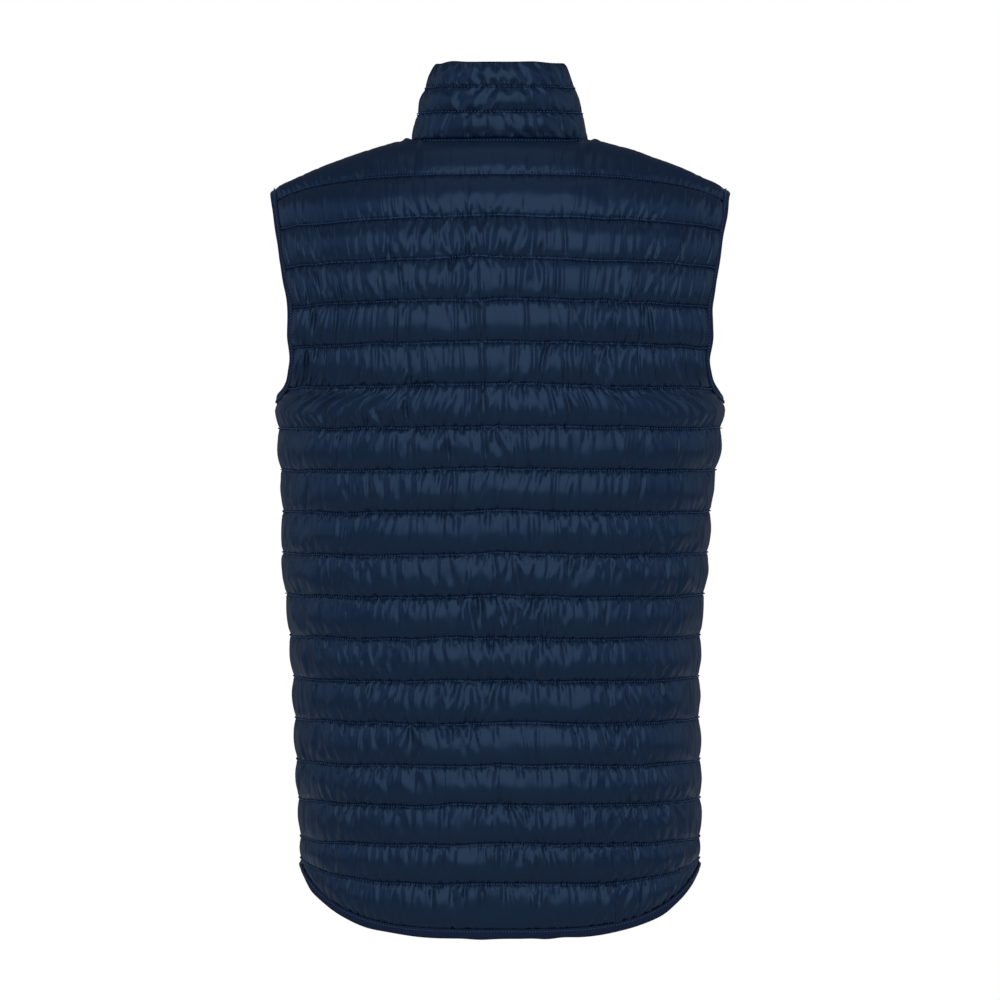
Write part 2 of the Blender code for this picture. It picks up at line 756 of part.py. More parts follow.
def main():
    reset_scene()
    vest = new_group("quilted_vest")
    guides = new_group("vest_guides")
    nylon = new_material("quilted_nylon", (0.013, 0.028, 0.062), 0.42)
    elastic = new_material("elastic_binding", (0.008, 0.018, 0.058), 0.7)
    tape = new_material("zip_tape", (0.010, 0.020, 0.050), 0.8)
    teeth = new_material("zip_teeth", (0.012, 0.018, 0.036), 0.4)
    metal = new_material("zip_metal", (0.020, 0.024, 0.034), 0.35, 0.6)
    build_panel("back_panel", BACK, 1, nylon, vest)
    build_collar(nylon, vest)
    build_hem_binding(elastic, vest)
    for name, mirror in (("left", 1), ("right", -1)):
        build_panel("front_panel_" + name, FRONT, mirror, nylon, vest)
        build_armhole_binding("armhole_binding_" + name, mirror, elastic, vest)
        build_zip_tape("zip_tape_" + name, mirror, tape, vest)
    build_zip_chain(teeth, vest)
    build_slider(metal, vest, guides)
    build_pull(metal, vest)
    build_zip_box(teeth, vest)


main()
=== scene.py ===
"""The looks of a quilted, padded vest with a stand collar and a full front zip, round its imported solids.

Metres, +Z up. The wearer faces -Y and their left is +X. The photo shows the vest from behind.
"""

import json
import math

import bmesh
import bpy
import numpy as np
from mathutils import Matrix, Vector
from mathutils.kdtree import KDTree

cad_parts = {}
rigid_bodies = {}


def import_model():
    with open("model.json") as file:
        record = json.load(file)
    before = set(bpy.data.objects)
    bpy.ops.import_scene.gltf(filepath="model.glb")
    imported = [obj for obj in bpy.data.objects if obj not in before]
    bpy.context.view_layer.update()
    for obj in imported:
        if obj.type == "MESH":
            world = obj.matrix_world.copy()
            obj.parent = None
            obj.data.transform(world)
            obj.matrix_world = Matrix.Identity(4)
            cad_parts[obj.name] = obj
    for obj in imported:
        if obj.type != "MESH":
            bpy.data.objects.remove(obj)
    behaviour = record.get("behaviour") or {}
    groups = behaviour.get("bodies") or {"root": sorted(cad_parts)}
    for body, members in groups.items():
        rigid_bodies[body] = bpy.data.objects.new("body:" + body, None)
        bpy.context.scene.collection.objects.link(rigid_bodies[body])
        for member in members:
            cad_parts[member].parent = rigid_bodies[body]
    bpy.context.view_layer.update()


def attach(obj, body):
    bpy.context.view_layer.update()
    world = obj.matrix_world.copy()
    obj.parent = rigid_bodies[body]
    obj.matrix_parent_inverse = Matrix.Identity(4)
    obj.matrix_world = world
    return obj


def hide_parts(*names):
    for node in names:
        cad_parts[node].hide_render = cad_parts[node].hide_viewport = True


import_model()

BACK = 1
FRONT = -1
SIDES = (("left", 1), ("right", -1))
FACE_NAMES = {BACK: "back", FRONT: "front"}
SEEDS = {"back": 11, "fronts": 21, "collar": 31, "armholes": 41, "hem": 51}

# Sizes of the vest, as its solids have them
SEAM_GAP = 0.0003
SEAM_CLOSING = 0.0002
PUFF = 0.0048
PUFF_ROUNDNESS = 0.65
BINDING_WIDTH = 0.0070
ZIP_EDGE = 0.0075
FIRST_LINE = -0.0367
LINE_PITCH = 0.0371
LOW_PITCH = 0.0348
PITCH_CHANGE = 14
LINES = {BACK: 18, FRONT: 17}
HEM = {BACK: -0.7013, FRONT: -0.6633}
SIDE_HEM = -0.6493
BACK_LAST_LINE_AT_SIDE = -0.6450
HEM_POWER = 1.6
DROOP_POWER = 2.2
GATHER_POWER = 0.6
SHOULDER_START = -0.180
RIDGE_TOP = 0.0115
RIDGE_SLOPE = 0.09
RIDGE_CURVE = 0.95
RING_POWER = 2.3
SHOULDER_POWER = {BACK: 2.2, FRONT: 1.8}
NECK_HALF_WIDTH = 0.0785
NAPE = -0.002
BACK_NECK_POWER = 4
FRONT_NECK_DROP = 0.062
FRONT_NECK_POWER = 0.6
COLLAR_CHANNELS = 3
COLLAR_TOP_HALF_WIDTH = 0.0575
COLLAR_TOP_MIDDLE = -0.004
COLLAR_TOP_DEPTH = {BACK: 0.044, FRONT: 0.076}
COLLAR_TOP_HEIGHT = {BACK: 0.0670, FRONT: 0.0100}
COLLAR_TOP_SIDE = 0.0685
COLLAR_TOP_FALL = 1.6
COLLAR_PUFF = 0.0026
COLLAR_SIDE_PUFF = 0.25
COLLAR_BOW = 0.0025
COLLAR_SEAM_GAP = 0.0008

# Fine grids of the cloth: cells across a panel, and rows of cells in each quilted channel.
# Every second column is a needle hole of the stitched lines.
COLUMNS = {BACK: 376, FRONT: 192}
COLLAR_COLUMNS = {BACK: 66, FRONT: 92}
CHANNEL_ROWS = 12
ROW_CROWDING = 0.7
SPACING_ROW = 9.0
SPACING_POINTS = 801
LEAST_ROW = 0.04
LINING_COLUMN_STEP = 4
LINING_ROW_STEPS = (0, 3, 6, 9)

# Edges of the padding, which rises from a stitched edge in a quarter circle
EDGE_ROUNDING = 0.009
LINING_DEPTH = 0.0011
LINING_PUFF = 0.0024
COLLAR_LINING_PUFF = 0.0018
COLLAR_TOP_WAVE = 0.0005
COLLAR_WAVE_COLUMNS = 12
COLLAR_TUCK = 0.0016
LINE_DEPTH = 0.0004
HOLE_DEPTH = 0.0003
DIMPLE = 0.00018
TOP_CHANNEL_PUFF = 0.75

# The topstitched line under the collar seam: its place in the top channel, its fading ends and its ridge
TOPSTITCH_SHARE = 0.13
TOPSTITCH_ROW = 2
TOPSTITCH_OVERRUN = 0.004
TOPSTITCH_FADE = 0.020
TOPSTITCH_RIDGE = 0.12

# How the quilting lines waver and sag, and how much calmer the cloth is at the sides and in its top rows
LINE_WOBBLE = 0.00045
WOBBLE_COLUMNS = 14
WOBBLE_EASE = 12
LINE_SAG = 0.0018
SAG_POWER = 0.8
SIDE_START = 0.5
SIDE_SPAN = 0.4
SIDE_CALM = 0.62
SIDE_SLACK = 0.35
TOP_ROWS = (-0.5, 0.5, 1.5)
TOP_GATHERS = (0.45, 0.7, 1.0)

# The elastics round the edges, cut as flat strips and folded over the cloth
BINDING_STEP = 0.0020
BINDING_PASSES = 6
ARMHOLE_POINTS = 260
HEM_POINTS = {BACK: 240, FRONT: 200}
TAIL_DROP = 0.0014
TAIL_DEPTH = 0.08
BINDING_THICKNESS = 0.0008
BINDING_WIDTH_WAVE = 0.0003
BINDING_HEIGHT_WAVE = 0.0002
BINDING_WAVE_POINTS = 6
BINDING_EASE_POINTS = 12
BINDING_STITCH_OUT = 0.0014
BINDING_STITCH_HEIGHT = 0.0016

# The folded elastic seen end on, as (out, up): from the panel's edge, round its free edge and back inside
BINDING_ROUTE = (
    (-0.0006, 0.0012),
    (0.0012, 0.0012),
    (0.0030, 0.0013),
    (BINDING_WIDTH - 0.0022, 0.0009),
    (BINDING_WIDTH - 0.0008, 0.0002),
    (BINDING_WIDTH - 0.0003, -0.0010),
    (BINDING_WIDTH - 0.0008, -0.0022),
    (BINDING_WIDTH - 0.0022, -0.0029),
    (0.0030, -0.0031),
    (0.0012, -0.0030),
    (-0.0006, -0.0030),
)

# Sewing threads. The rings are (share of the stitch, share of the thickness).
STITCH_PITCH = 0.0026
THREAD_SIDES = 5
THREAD_RINGS = ((0.12, 0.75), (0.5, 1.0), (0.88, 0.75))
THREAD_RADIUS = 0.00058
THREAD_LIFT = 0.00120
THREAD_INSET = 0.27
EDGE_THREAD_INSET = 0.22

# The zip: places from its middle, and depths from the stitched lines, which are negative inwards
TAPE_NEAR = 0.0024
TAPE_FAR = 0.0128
TAPE_BACK = -0.0038
TAPE_FRONT = -0.0032
TAPE_BEAD_WIDTH = 0.0012
TAPE_BEAD_HEIGHT = 0.0004
TAPE_STITCH_INSET = 0.0010
ZIP_POINTS = 300
COLLAR_ZIP_POINTS = 30
ZIP_PASSES = 8
INSIDE_EDGE = 0.05
INSIDE_TOP = 0.4
INSIDE_COLUMNS = 3
CHAIN_HALF_WIDTH = 0.0026
CHAIN_BACK = -0.0043
CHAIN_FRONT = -0.0015
SLIDER_SHARE = 0.86
TOOTH_PITCH = 0.00255
TOOTH_SHARE = 0.62
TOOTH_EDGE_ANGLE = 35
TOOTH_OUTLINE = ((1.0, -0.8), (1.0, 0.8), (0.35, 0.7), (0.05, 1.0), (-0.2, 0.8), (-0.3, 0.0),
                 (-0.2, -0.8), (0.05, -1.0), (0.35, -0.7))

# Levels of a tooth through its thickness, as (level, size)
TOOTH_LEVELS = ((-1.0, 0.82), (-0.8, 1.0), (0.8, 1.0), (1.0, 0.82))

# Small amounts: a step for slopes and comparisons, what rounding may add, and the least length of a vector
STEP = 1e-4
NEARLY = 1e-6
TINY = 1e-9
SHORTEST = 1e-12


class Table:
    """A table with named columns, read between its rows along a smooth curve that never overshoots."""

    def __init__(self, columns, rows):
        ordered = np.array(sorted(rows), dtype=float)
        self.places = ordered[:, 0]
        self.values = {name: ordered[:, i] for i, name in enumerate(columns)}
        self.slopes = {name: self.slopes_of(column) for name, column in self.values.items()}

    def slopes_of(self, column):
        steps = np.diff(self.places)
        rates = np.diff(column) / steps
        slopes = np.zeros(len(column))
        slopes[0] = rates[0]
        slopes[-1] = rates[-1]
        for i in range(1, len(column) - 1):
            if rates[i - 1] * rates[i] > 0:
                before = 2 * steps[i] + steps[i - 1]
                after = steps[i] + 2 * steps[i - 1]
                slopes[i] = (before + after) / (before / rates[i - 1] + after / rates[i])
        return slopes

    def read(self, name, at):
        at = np.clip(np.asarray(at, dtype=float), self.places[0], self.places[-1])
        k = np.clip(np.searchsorted(self.places, at) - 1, 0, len(self.places) - 2)
        step = self.places[k + 1] - self.places[k]
        t = (at - self.places[k]) / step
        low, high = self.values[name][k], self.values[name][k + 1]
        leave, arrive = self.slopes[name][k] * step, self.slopes[name][k + 1] * step
        ease = t * t * (3 - 2 * t)
        return low + (high - low) * ease + leave * t * (1 - t) ** 2 - arrive * t * t * (1 - t)


# Horizontal rings of the body, at the stitched lines. The topmost ring also passes round the arms.
RINGS = Table(
    ("height", "half_width", "back_depth", "front_depth", "lean"),
    (
        (-0.180, 0.2155, 0.1125, 0.1180, 0.0000),
        (-0.240, 0.1990, 0.1140, 0.1190, 0.0000),
        (-0.276, 0.1970, 0.1130, 0.1190, 0.0005),
        (-0.320, 0.1915, 0.1110, 0.1170, 0.0025),
        (-0.380, 0.1895, 0.1080, 0.1140, 0.0045),
        (-0.440, 0.1835, 0.1060, 0.1120, 0.0045),
        (-0.500, 0.1805, 0.1060, 0.1125, 0.0030),
        (-0.560, 0.1800, 0.1075, 0.1135, 0.0015),
        (-0.620, 0.1785, 0.1060, 0.1120, 0.0000),
        (-0.665, 0.1780, 0.1020, 0.1080, 0.0000),
        (-0.710, 0.1750, 0.0975, 0.1040, 0.0000),
    ),
)
SHOULDER_HALF_WIDTH = RINGS.read("half_width", SHOULDER_START)

# How far round its ring each panel reaches: 1 is the side seam, less is the armhole's edge.
ARMHOLE = Table(
    ("height", "back", "front"),
    (
        (-0.2380, 1.000, 1.000),
        (-0.2340, 0.860, 0.850),
        (-0.2280, 0.770, 0.750),
        (-0.2180, 0.705, 0.675),
        (-0.1960, 0.640, 0.605),
        (-0.1600, 0.620, 0.585),
        (-0.1200, 0.660, 0.630),
        (-0.0800, 0.705, 0.690),
        (-0.0440, 0.750, 0.750),
    ),
)
UNDERARM_ROW = 5.5

# Where each quilting line meets the armhole, which it reaches lower than it starts in the middle, as
# (line, height). From LEVEL_LINE down the lines end at the height they have in the middle.
LINE_ENDS = ((-1.0, -0.0440), (0.0, -0.0565), (1.0, -0.0833), (2.0, -0.1186), (3.0, -0.1538),
             (4.0, -0.1897), (5.0, -0.2251), (UNDERARM_ROW, -0.2380), (6.0, -0.2593))
LEVEL_LINE = 7
HALVINGS = 40
NOISE_HEIGHT = 2.2


def signed_power(value, power):
    return np.sign(value) * np.abs(value) ** power


def unit(vectors):
    return vectors / np.maximum(np.linalg.norm(vectors, axis=-1, keepdims=True), SHORTEST)


def distances_along(path):
    """How far each point of a path lies from its start."""
    return np.concatenate([[0], np.cumsum(np.linalg.norm(np.diff(path, axis=0), axis=-1))])


def both_halves(half):
    """A path from the vest's right round to its left, made of its left half."""
    return np.concatenate([half[:0:-1] * (-1, 1, 1), half])


def ridge_height(x):
    return RIDGE_TOP - RIDGE_SLOPE * np.abs(x) - RIDGE_CURVE * x * x


def cloth(side, fraction, level):
    """A point of the cloth at the height of its stitched lines.

    fraction runs round a ring from the middle, 0, to the side, 1. Where level is negative it is the height
    over SHOULDER_START, and above that it is the share of the turn over the shoulder, 1 on the ridge.
    """
    height = SHOULDER_START + np.minimum(level, 0)
    turn = np.maximum(level, 0) * math.pi / 2
    depth = RINGS.read(FACE_NAMES[side] + "_depth", height)
    angle = fraction * math.pi / 2
    x = RINGS.read("half_width", height) * signed_power(np.sin(angle), 2 / RING_POWER)
    turn_power = 2 / SHOULDER_POWER[side]
    y = depth * signed_power(np.cos(angle), 2 / RING_POWER) * signed_power(np.cos(turn), turn_power)
    z = height + (ridge_height(x) - SHOULDER_START) * signed_power(np.sin(turn), turn_power)
    return np.stack([x, side * (y + SEAM_GAP / 2), z], axis=-1)


def cloth_normal(side, fraction, level):
    across = cloth(side, fraction + STEP, level) - cloth(side, fraction - STEP, level)
    upward = cloth(side, fraction, level + STEP) - cloth(side, fraction, level - STEP)
    return unit(np.cross(upward, across)) * side


def fraction_of(x, half_width):
    """The fraction, round a ring of a half width, of a sideways place."""
    return np.arcsin((np.abs(x) / half_width) ** (RING_POWER / 2)) * 2 / math.pi


def shoulder_x(fraction):
    """The sideways place of a fraction of the topmost ring."""
    return SHOULDER_HALF_WIDTH * np.sin(np.abs(fraction) * math.pi / 2) ** (2 / RING_POWER)


def level_of(side, fraction, height):
    ridge = ridge_height(shoulder_x(fraction))
    rise = np.clip((height - SHOULDER_START) / (ridge - SHOULDER_START), 0, 1)
    turn = np.arcsin(rise ** (SHOULDER_POWER[side] / 2)) * 2 / math.pi
    return np.where(height < SHOULDER_START, height - SHOULDER_START, turn)


def middle_height(side, row):
    """Height of a row in the middle of a panel. Rows are counted in quilting lines, with the hem last."""
    lines = [FIRST_LINE - LINE_PITCH * min(k, PITCH_CHANGE) - LOW_PITCH * max(k - PITCH_CHANGE, 0)
             for k in range(LINES[side])]
    return np.interp(row, range(LINES[side] + 1), lines + [HEM[side]])


def side_height(side, row):
    """Height of the same row at the panel's outer edge."""
    ends = list(LINE_ENDS)
    ends += [(k, middle_height(side, k)) for k in range(LEVEL_LINE, LINES[side])]
    if side == BACK:
        ends[-1] = (LINES[side] - 1, BACK_LAST_LINE_AT_SIDE)
    ends.append((LINES[side], SIDE_HEM))
    return np.interp(row, *np.transpose(ends))


def row_height(side, u, row):
    middle = middle_height(side, row)
    droop = np.abs(u) ** DROOP_POWER
    hem_rise = np.sin(np.abs(u) ** HEM_POWER * math.pi / 2) ** 2
    return middle + (side_height(side, row) - middle) * np.where(row > PITCH_CHANGE, hem_rise, droop)


def row_fraction(side, u, row):
    reach = ARMHOLE.read(FACE_NAMES[side], side_height(side, row))
    gathered = u * (1 - (1 - reach) * np.abs(u) ** GATHER_POWER)
    if side == BACK:
        return gathered
    half_width = RINGS.read("half_width", np.minimum(middle_height(side, row), SHOULDER_START))
    return fraction_of(ZIP_EDGE, half_width) * (1 - u) + gathered


def neck_height(side, x):
    share = np.clip(np.abs(x) / NECK_HALF_WIDTH, 0, 1)
    point = ridge_height(NECK_HALF_WIDTH)
    if side == BACK:
        return NAPE + (point - NAPE) * share ** BACK_NECK_POWER
    return point - FRONT_NECK_DROP * (1 - share ** 2) ** FRONT_NECK_POWER


def panel_place(side, u, row):
    """Ring fraction and level of a place on a panel: u across it, row down it in quilting lines from 0."""
    fraction = row_fraction(side, u, row)
    level = level_of(side, fraction, row_height(side, u, np.maximum(row, 0)))
    top = np.ones_like(level)
    if side == BACK:
        x = shoulder_x(fraction)
        top = np.where(x < NECK_HALF_WIDTH, level_of(side, fraction, neck_height(side, x)), 1.0)
    return fraction, level + (top - level) * np.clip(-row, 0, 1)


def halve(low, high, is_low):
    """Where is_low turns from true to false, for each place between two arrays of bounds."""
    for _ in range(HALVINGS):
        middle = (low + high) / 2
        below = is_low(middle)
        low = np.where(below, middle, low)
        high = np.where(below, high, middle)
    return high


def neck_rows(u):
    """Where the front neckline cuts each column: above it the column has no cloth."""

    def over_neckline(row):
        place = cloth(FRONT, *panel_place(FRONT, u, row))
        return place[..., 2] > neck_height(FRONT, place[..., 0])

    crossing = halve(np.full_like(u, -1.0), np.full_like(u, 2.0), over_neckline)
    at_ridge = cloth(FRONT, *panel_place(FRONT, u, np.full_like(u, -1.0)))[..., 0]
    return np.where(at_ridge < NECK_HALF_WIDTH, crossing, -1.0)


def leaning(points):
    """The same points with the waist's slight lean, which is the last thing added to every piece."""
    moved = points.copy()
    moved[..., 0] += RINGS.read("lean", points[..., 2])
    return moved


def noise(rng, shape, cells):
    """Smooth random heights over a grid, about 1 high, with the given number of bumps each way."""

    def spread(values, count, axis):
        at = np.linspace(0, values.shape[axis] - 3 - NEARLY, count)
        k = at.astype(int)
        t = at - k
        weights = ((1 - t) ** 3, 3 * t ** 3 - 6 * t ** 2 + 4, -3 * t ** 3 + 3 * t ** 2 + 3 * t + 1, t ** 3)
        shaped = [weight[:, None] if axis == 0 else weight[None, :] for weight in weights]
        return sum(np.take(values, k + i, axis=axis) * weight / 6 for i, weight in enumerate(shaped))

    values = rng.normal(0, 1, (cells[0] + 3, cells[1] + 3))
    return spread(spread(values, shape[0], 0), shape[1], 1) * NOISE_HEIGHT


# How the cloth settles into folds. Rests are lengths that neighbouring points want to lie apart.

CLOTH_PULL = 0.9
CLOTH_SHEAR = 0.05
FURTHEST_MOVE = 0.0045


def cut(axis, start, stop, step):
    parts = [slice(None), slice(None)]
    parts[axis] = slice(start, stop, step)
    return tuple(parts)


def pull_pairs(points, free, rests, first, second, stiffness):
    """Moves pairs of points, given as two views of the grid, towards their rest distances."""
    near, far = points[first], points[second]
    near_free, far_free = free[first], free[second]
    apart = far - near
    length = np.sqrt((apart * apart).sum(-1)) + TINY
    push = stiffness * (length - rests) / (length * (near_free + far_free + TINY))
    near += apart * (push * near_free)[..., None]
    far -= apart * (push * far_free)[..., None]


def pull_neighbours(points, free, rests, axis):
    count = points.shape[axis]
    for offset in (0, 1):
        first = cut(axis, offset, count - 1, 2)
        second = cut(axis, offset + 1, count, 2)
        pull_pairs(points, free, rests[first], first, second, CLOTH_PULL)


def pull_diagonals(points, free, rests):
    columns = points.shape[0]
    for offset in (0, 1):
        near = slice(offset, columns - 1, 2)
        far = slice(offset + 1, columns, 2)
        for first, second in ((slice(0, -1), slice(1, None)), (slice(1, None), slice(0, -1))):
            pull_pairs(points, free, rests[near], (near, first), (far, second), CLOTH_SHEAR)


def bend(points, free, axis, stiffness):
    """Straightens the cloth a little along one axis of its grid."""
    count = points.shape[axis]
    turn = np.diff(points, 2, axis=axis) * stiffness[cut(axis, 1, count - 1, 1)][..., None]
    for shift, share in ((0, -1), (1, 2), (2, -1)):
        place = cut(axis, shift, count - 2 + shift, 1)
        points[place] += share * turn * free[place][..., None]


def grid_normals(points, outward):
    normals = unit(np.cross(np.gradient(points, axis=0), np.gradient(points, axis=1)))
    facing = np.sign((normals * outward).sum(-1, keepdims=True))
    return normals * np.where(facing == 0, 1, facing)


def settle(points, base, normals, free, across, along, padding, rounds, bending):
    """Lets longer cloth find its folds over the padding, between the stitches that hold it."""
    diagonals = np.hypot((across[:, :-1] + across[:, 1:]) / 2, (along[:-1] + along[1:]) / 2)
    for _ in range(rounds):
        pull_neighbours(points, free, along, 1)
        pull_neighbours(points, free, across, 0)
        pull_diagonals(points, free, diagonals)
        bend(points, free, 0, bending[0])
        bend(points, free, 1, bending[1])
        points -= normals * (((points - base) * normals).sum(-1) * padding * free)[..., None]
    moved = points - base
    reach = np.linalg.norm(moved, axis=-1, keepdims=True)
    return base + moved * np.minimum(1, FURTHEST_MOVE / np.maximum(reach, TINY))


# How much longer the cloth is than its seams, how stiffly it bends at the lines, between them and
# upright, how firm the padding is at the lines and between them, how far the cloth was dragged along
# the lines, and how high its first long and short waves are.
FOLDS = {
    "outer": {"gather": 0.11, "fullness": 0.02, "rounds": 300, "bending": (0.005, 0.10, 0.004),
              "padding": (0.020, 0.0004), "slip": (0.0008, 0.0004), "waves": (0.0005, 0.0003)},
    "lining": {"gather": 0.05, "fullness": 0.01, "rounds": 120, "bending": (0.01, 0.02, 0.006),
               "padding": (0.02, 0.006), "slip": (0.0010, 0.0), "waves": (0.0004, 0.0001)},
}
WAVE_COLUMNS = 9
SHORT_WAVE_COLUMNS = 3
GATHER_COLUMNS = 26
GATHER_SPREAD = 0.25
GATHER_LIMITS = (0.65, 1.6)
SLIP_COLUMNS = (36, 12)


def edge_distances(points, edges):
    """How far each point of a grid lies from the nearest of the edge points."""
    tree = KDTree(len(edges))
    for i, edge in enumerate(edges):
        tree.insert(edge, i)
    tree.balance()
    flat = points.reshape(-1, 3)
    return np.array([tree.find(point)[2] for point in flat]).reshape(points.shape[:-1])


def smooth_step(share):
    share = np.clip(share, 0, 1)
    return share * share * (3 - 2 * share)


def quarter_round(distance, radius):
    share = 1 - np.clip(distance / radius, 0, 1)
    return np.sqrt(1 - share * share)


def on_lines(rows):
    return np.abs(rows - np.round(rows)) < NEARLY


def channel_share(rows):
    """How far down its channel each row lies."""
    return np.clip(rows - np.floor(rows + TINY), 0, 1)


def channel_rise(rows):
    """Height of the padding in each channel, as a share of its fullest."""
    return np.sin(channel_share(rows) * math.pi) ** PUFF_ROUNDNESS


def grid_rows(first, last):
    """Rows of a grid from its first to its last line, closer together at the stitched lines."""
    t = np.arange(CHANNEL_ROWS) / CHANNEL_ROWS
    steps = (1 - ROW_CROWDING) * t + ROW_CROWDING * (0.5 - 0.5 * np.cos(math.pi * t))
    return np.concatenate([line + steps for line in range(first, last)] + [[last]])


def line_slip(rng, columns, lines, rows, sizes, fade):
    """How far the cloth was dragged along each line as it was stitched, at every point of a grid."""
    drag = np.zeros((columns, lines))
    for size, wave_columns in zip(sizes, SLIP_COLUMNS):
        bumps = columns // wave_columns
        drag += size * np.stack([noise(rng, (columns, 1), (bumps, 1))[:, 0] for _ in range(lines)], 1)
    low = np.clip(np.floor(rows).astype(int), 0, lines - 1)
    high = np.minimum(low + 1, lines - 1)
    share = rows - low
    place = np.arange(columns)[:, None]
    return (drag[place, low] * (1 - share) + drag[place, high] * share) * fade


def fold_cloth(rng, base, normals, rows, pinned, fade, share, kind):
    """The settled form of one layer of quilted cloth over its padding. share says how much it is gathered."""
    ways = FOLDS[kind]
    shape = rows.shape
    columns = shape[0]
    lines = int(round(rows.max() - rows.min())) + 1
    first = np.floor(rows.min() + TINY)
    across = np.linalg.norm(np.diff(base, axis=0), axis=-1)
    along = np.linalg.norm(np.diff(base, axis=1), axis=-1)
    slip = line_slip(rng, columns, lines, rows - first, ways["slip"], fade)
    between = np.sqrt(np.sin(channel_share(rows) * math.pi))
    long_waves, short_waves = ways["waves"]
    waves = long_waves * noise(rng, shape, (max(columns // WAVE_COLUMNS, 1), lines * 2))
    short = noise(rng, shape, (max(columns // SHORT_WAVE_COLUMNS, 1), lines * 4))
    waves += short_waves * short * (1 - between)
    start = base + unit(np.gradient(base, axis=0)) * slip[..., None]
    start += normals * (waves * between * fade * ~pinned)[..., None]
    gather = noise(rng, shape, (max(columns // GATHER_COLUMNS, 2), lines))
    gather = ways["gather"] * share * np.clip(1 + GATHER_SPREAD * gather, *GATHER_LIMITS)
    across *= 1 + (gather[:-1] + gather[1:]) / 2
    along *= 1 + ways["fullness"]
    free = np.where(pinned, 0.0, 1.0)
    firm, soft = ways["padding"]
    padding = firm + (soft - firm) * between
    at_line, midway, upright = ways["bending"]
    bending = (at_line + (midway - at_line) * between ** 2, np.full(shape, upright))
    rounds = ways["rounds"]
    return settle(start, base, normals, free, across, along, padding, rounds, bending)


# Creases that the stitches gather into the cloth: how far apart they start along a line, how deep and
# wide they are, how much of a channel they cross, how far they lean over it, and how many are ridges.
CREASES = {
    "under": {"spacing": 0.0125, "depth": 0.00120, "width": 0.0016, "length": (0.35, 0.95), "lean": 0.0034,
              "ridges": 0.10},
    "over": {"spacing": 0.0060, "depth": 0.00052, "width": 0.0012, "length": (0.12, 0.34), "lean": 0.0040,
             "ridges": 0.7},
    "through": {"spacing": 0.0165, "depth": 0.00130, "width": 0.0017, "length": (1.0, 1.0), "lean": 0.0026,
                "ridges": 0.10},
    "side": {"spacing": 0.0052, "depth": 0.00022, "width": 0.0013, "length": (1.0, 1.0), "lean": 0.0020,
             "ridges": 0.4},
}
CREASE_JITTER = 0.45
CREASE_DEPTHS = (0.15, 1.6)
CREASE_WIDTHS = (0.7, 1.5)
CREASE_START = 0.09
CREASE_NARROWEST = 0.8
CREASE_SPREAD = 0.5
CREASE_REACH = 6
SIDE_CREASE_LOSS = 0.6
LIP_PLACE = 2.0
LIP_SHARE = 0.4
CREASE_EDGE = 0.006
CENTRE_FOLD = {"x": -0.034, "first": 8.5, "last": 17.5, "depth": 0.0007, "width": 0.0016}

# How strong each kind of crease is, channel by channel from the top of the panel and of the collar
PANEL_CREASES = Table(
    ("channel", "under", "over", "through", "side"),
    (
        (0, 0.10, 1.00, 0.15, 0.4),
        (1, 0.25, 1.30, 0.25, 0.5),
        (2, 0.70, 0.60, 1.20, 0.7),
        (7, 0.90, 0.40, 1.10, 1.0),
        (10, 1.25, 0.30, 0.55, 1.0),
        (18, 1.25, 0.30, 0.50, 1.0),
    ),
)
COLLAR_CREASES = Table(
    ("channel", "under", "over", "through", "side"),
    (
        (0, 0.20, 0.90, 0.10, 0.5),
        (1, 0.30, 1.00, 0.20, 0.5),
        (2, 0.50, 0.90, 0.70, 0.5),
    ),
)


def crease(across, share, kind, place, depth, length, lean, width, lip):
    """Height of one crease, a trough or a ridge with a lip along one side."""
    run = {"under": share, "over": 1 - share}.get(kind, np.zeros_like(share)) / length
    height = depth * smooth_step(share / CREASE_START) * smooth_step((1 - share) / CREASE_START)
    height = height * (1 - smooth_step(run))
    middle = place + lean[0] * (share - 0.5) + lean[1] * np.sin(share * math.pi)
    out = (across - middle) / (width * (CREASE_NARROWEST + CREASE_SPREAD * np.clip(run, 0, 1)))
    return height * (np.exp(-out ** 2 / 2) - LIP_SHARE * np.exp(-(out - LIP_PLACE * lip) ** 2 / 2))


def crease_relief(rng, across, rows, beside, strengths):
    """Height of the sewn-in creases all over a grid. rows counts the channels down from its top edge."""
    relief = np.zeros(rows.shape)
    for channel in range(int(round(rows.max()))):
        part = slice(channel * CHANNEL_ROWS, (channel + 1) * CHANNEL_ROWS + 1)
        share = np.clip(rows[:, part] - channel, 0, 1)
        for kind, ways in CREASES.items():
            count = int(across.max() / ways["spacing"])
            jitter = rng.uniform(0.5 - CREASE_JITTER, 0.5 + CREASE_JITTER, count)
            places = (np.arange(count) + jitter) * ways["spacing"]
            depths = ways["depth"] * strengths.read(kind, channel) * rng.uniform(*CREASE_DEPTHS, count)
            depths *= np.where(rng.random(count) < ways["ridges"], 1, -1)
            lengths = rng.uniform(*ways["length"], count)
            leans = rng.normal(0, ways["lean"], (count, 2)) * (1.0, 0.5)
            widths = ways["width"] * rng.uniform(*CREASE_WIDTHS, count)
            lips = rng.choice((-1.0, 1.0), count)
            zone = beside[:, part] if kind == "side" else 1 - SIDE_CREASE_LOSS * beside[:, part]
            for place, depth, length, lean, width, lip in zip(places, depths, lengths, leans, widths, lips):
                reach = CREASE_REACH * width + 2 * np.abs(lean).sum()
                near = slice(*np.searchsorted(across[:, 0], (place - reach, place + reach)))
                height = crease(across[near, part], share[near], kind, place, depth, length, lean, width, lip)
                relief[near, part] += height * zone[near]
    return relief


# Meshes

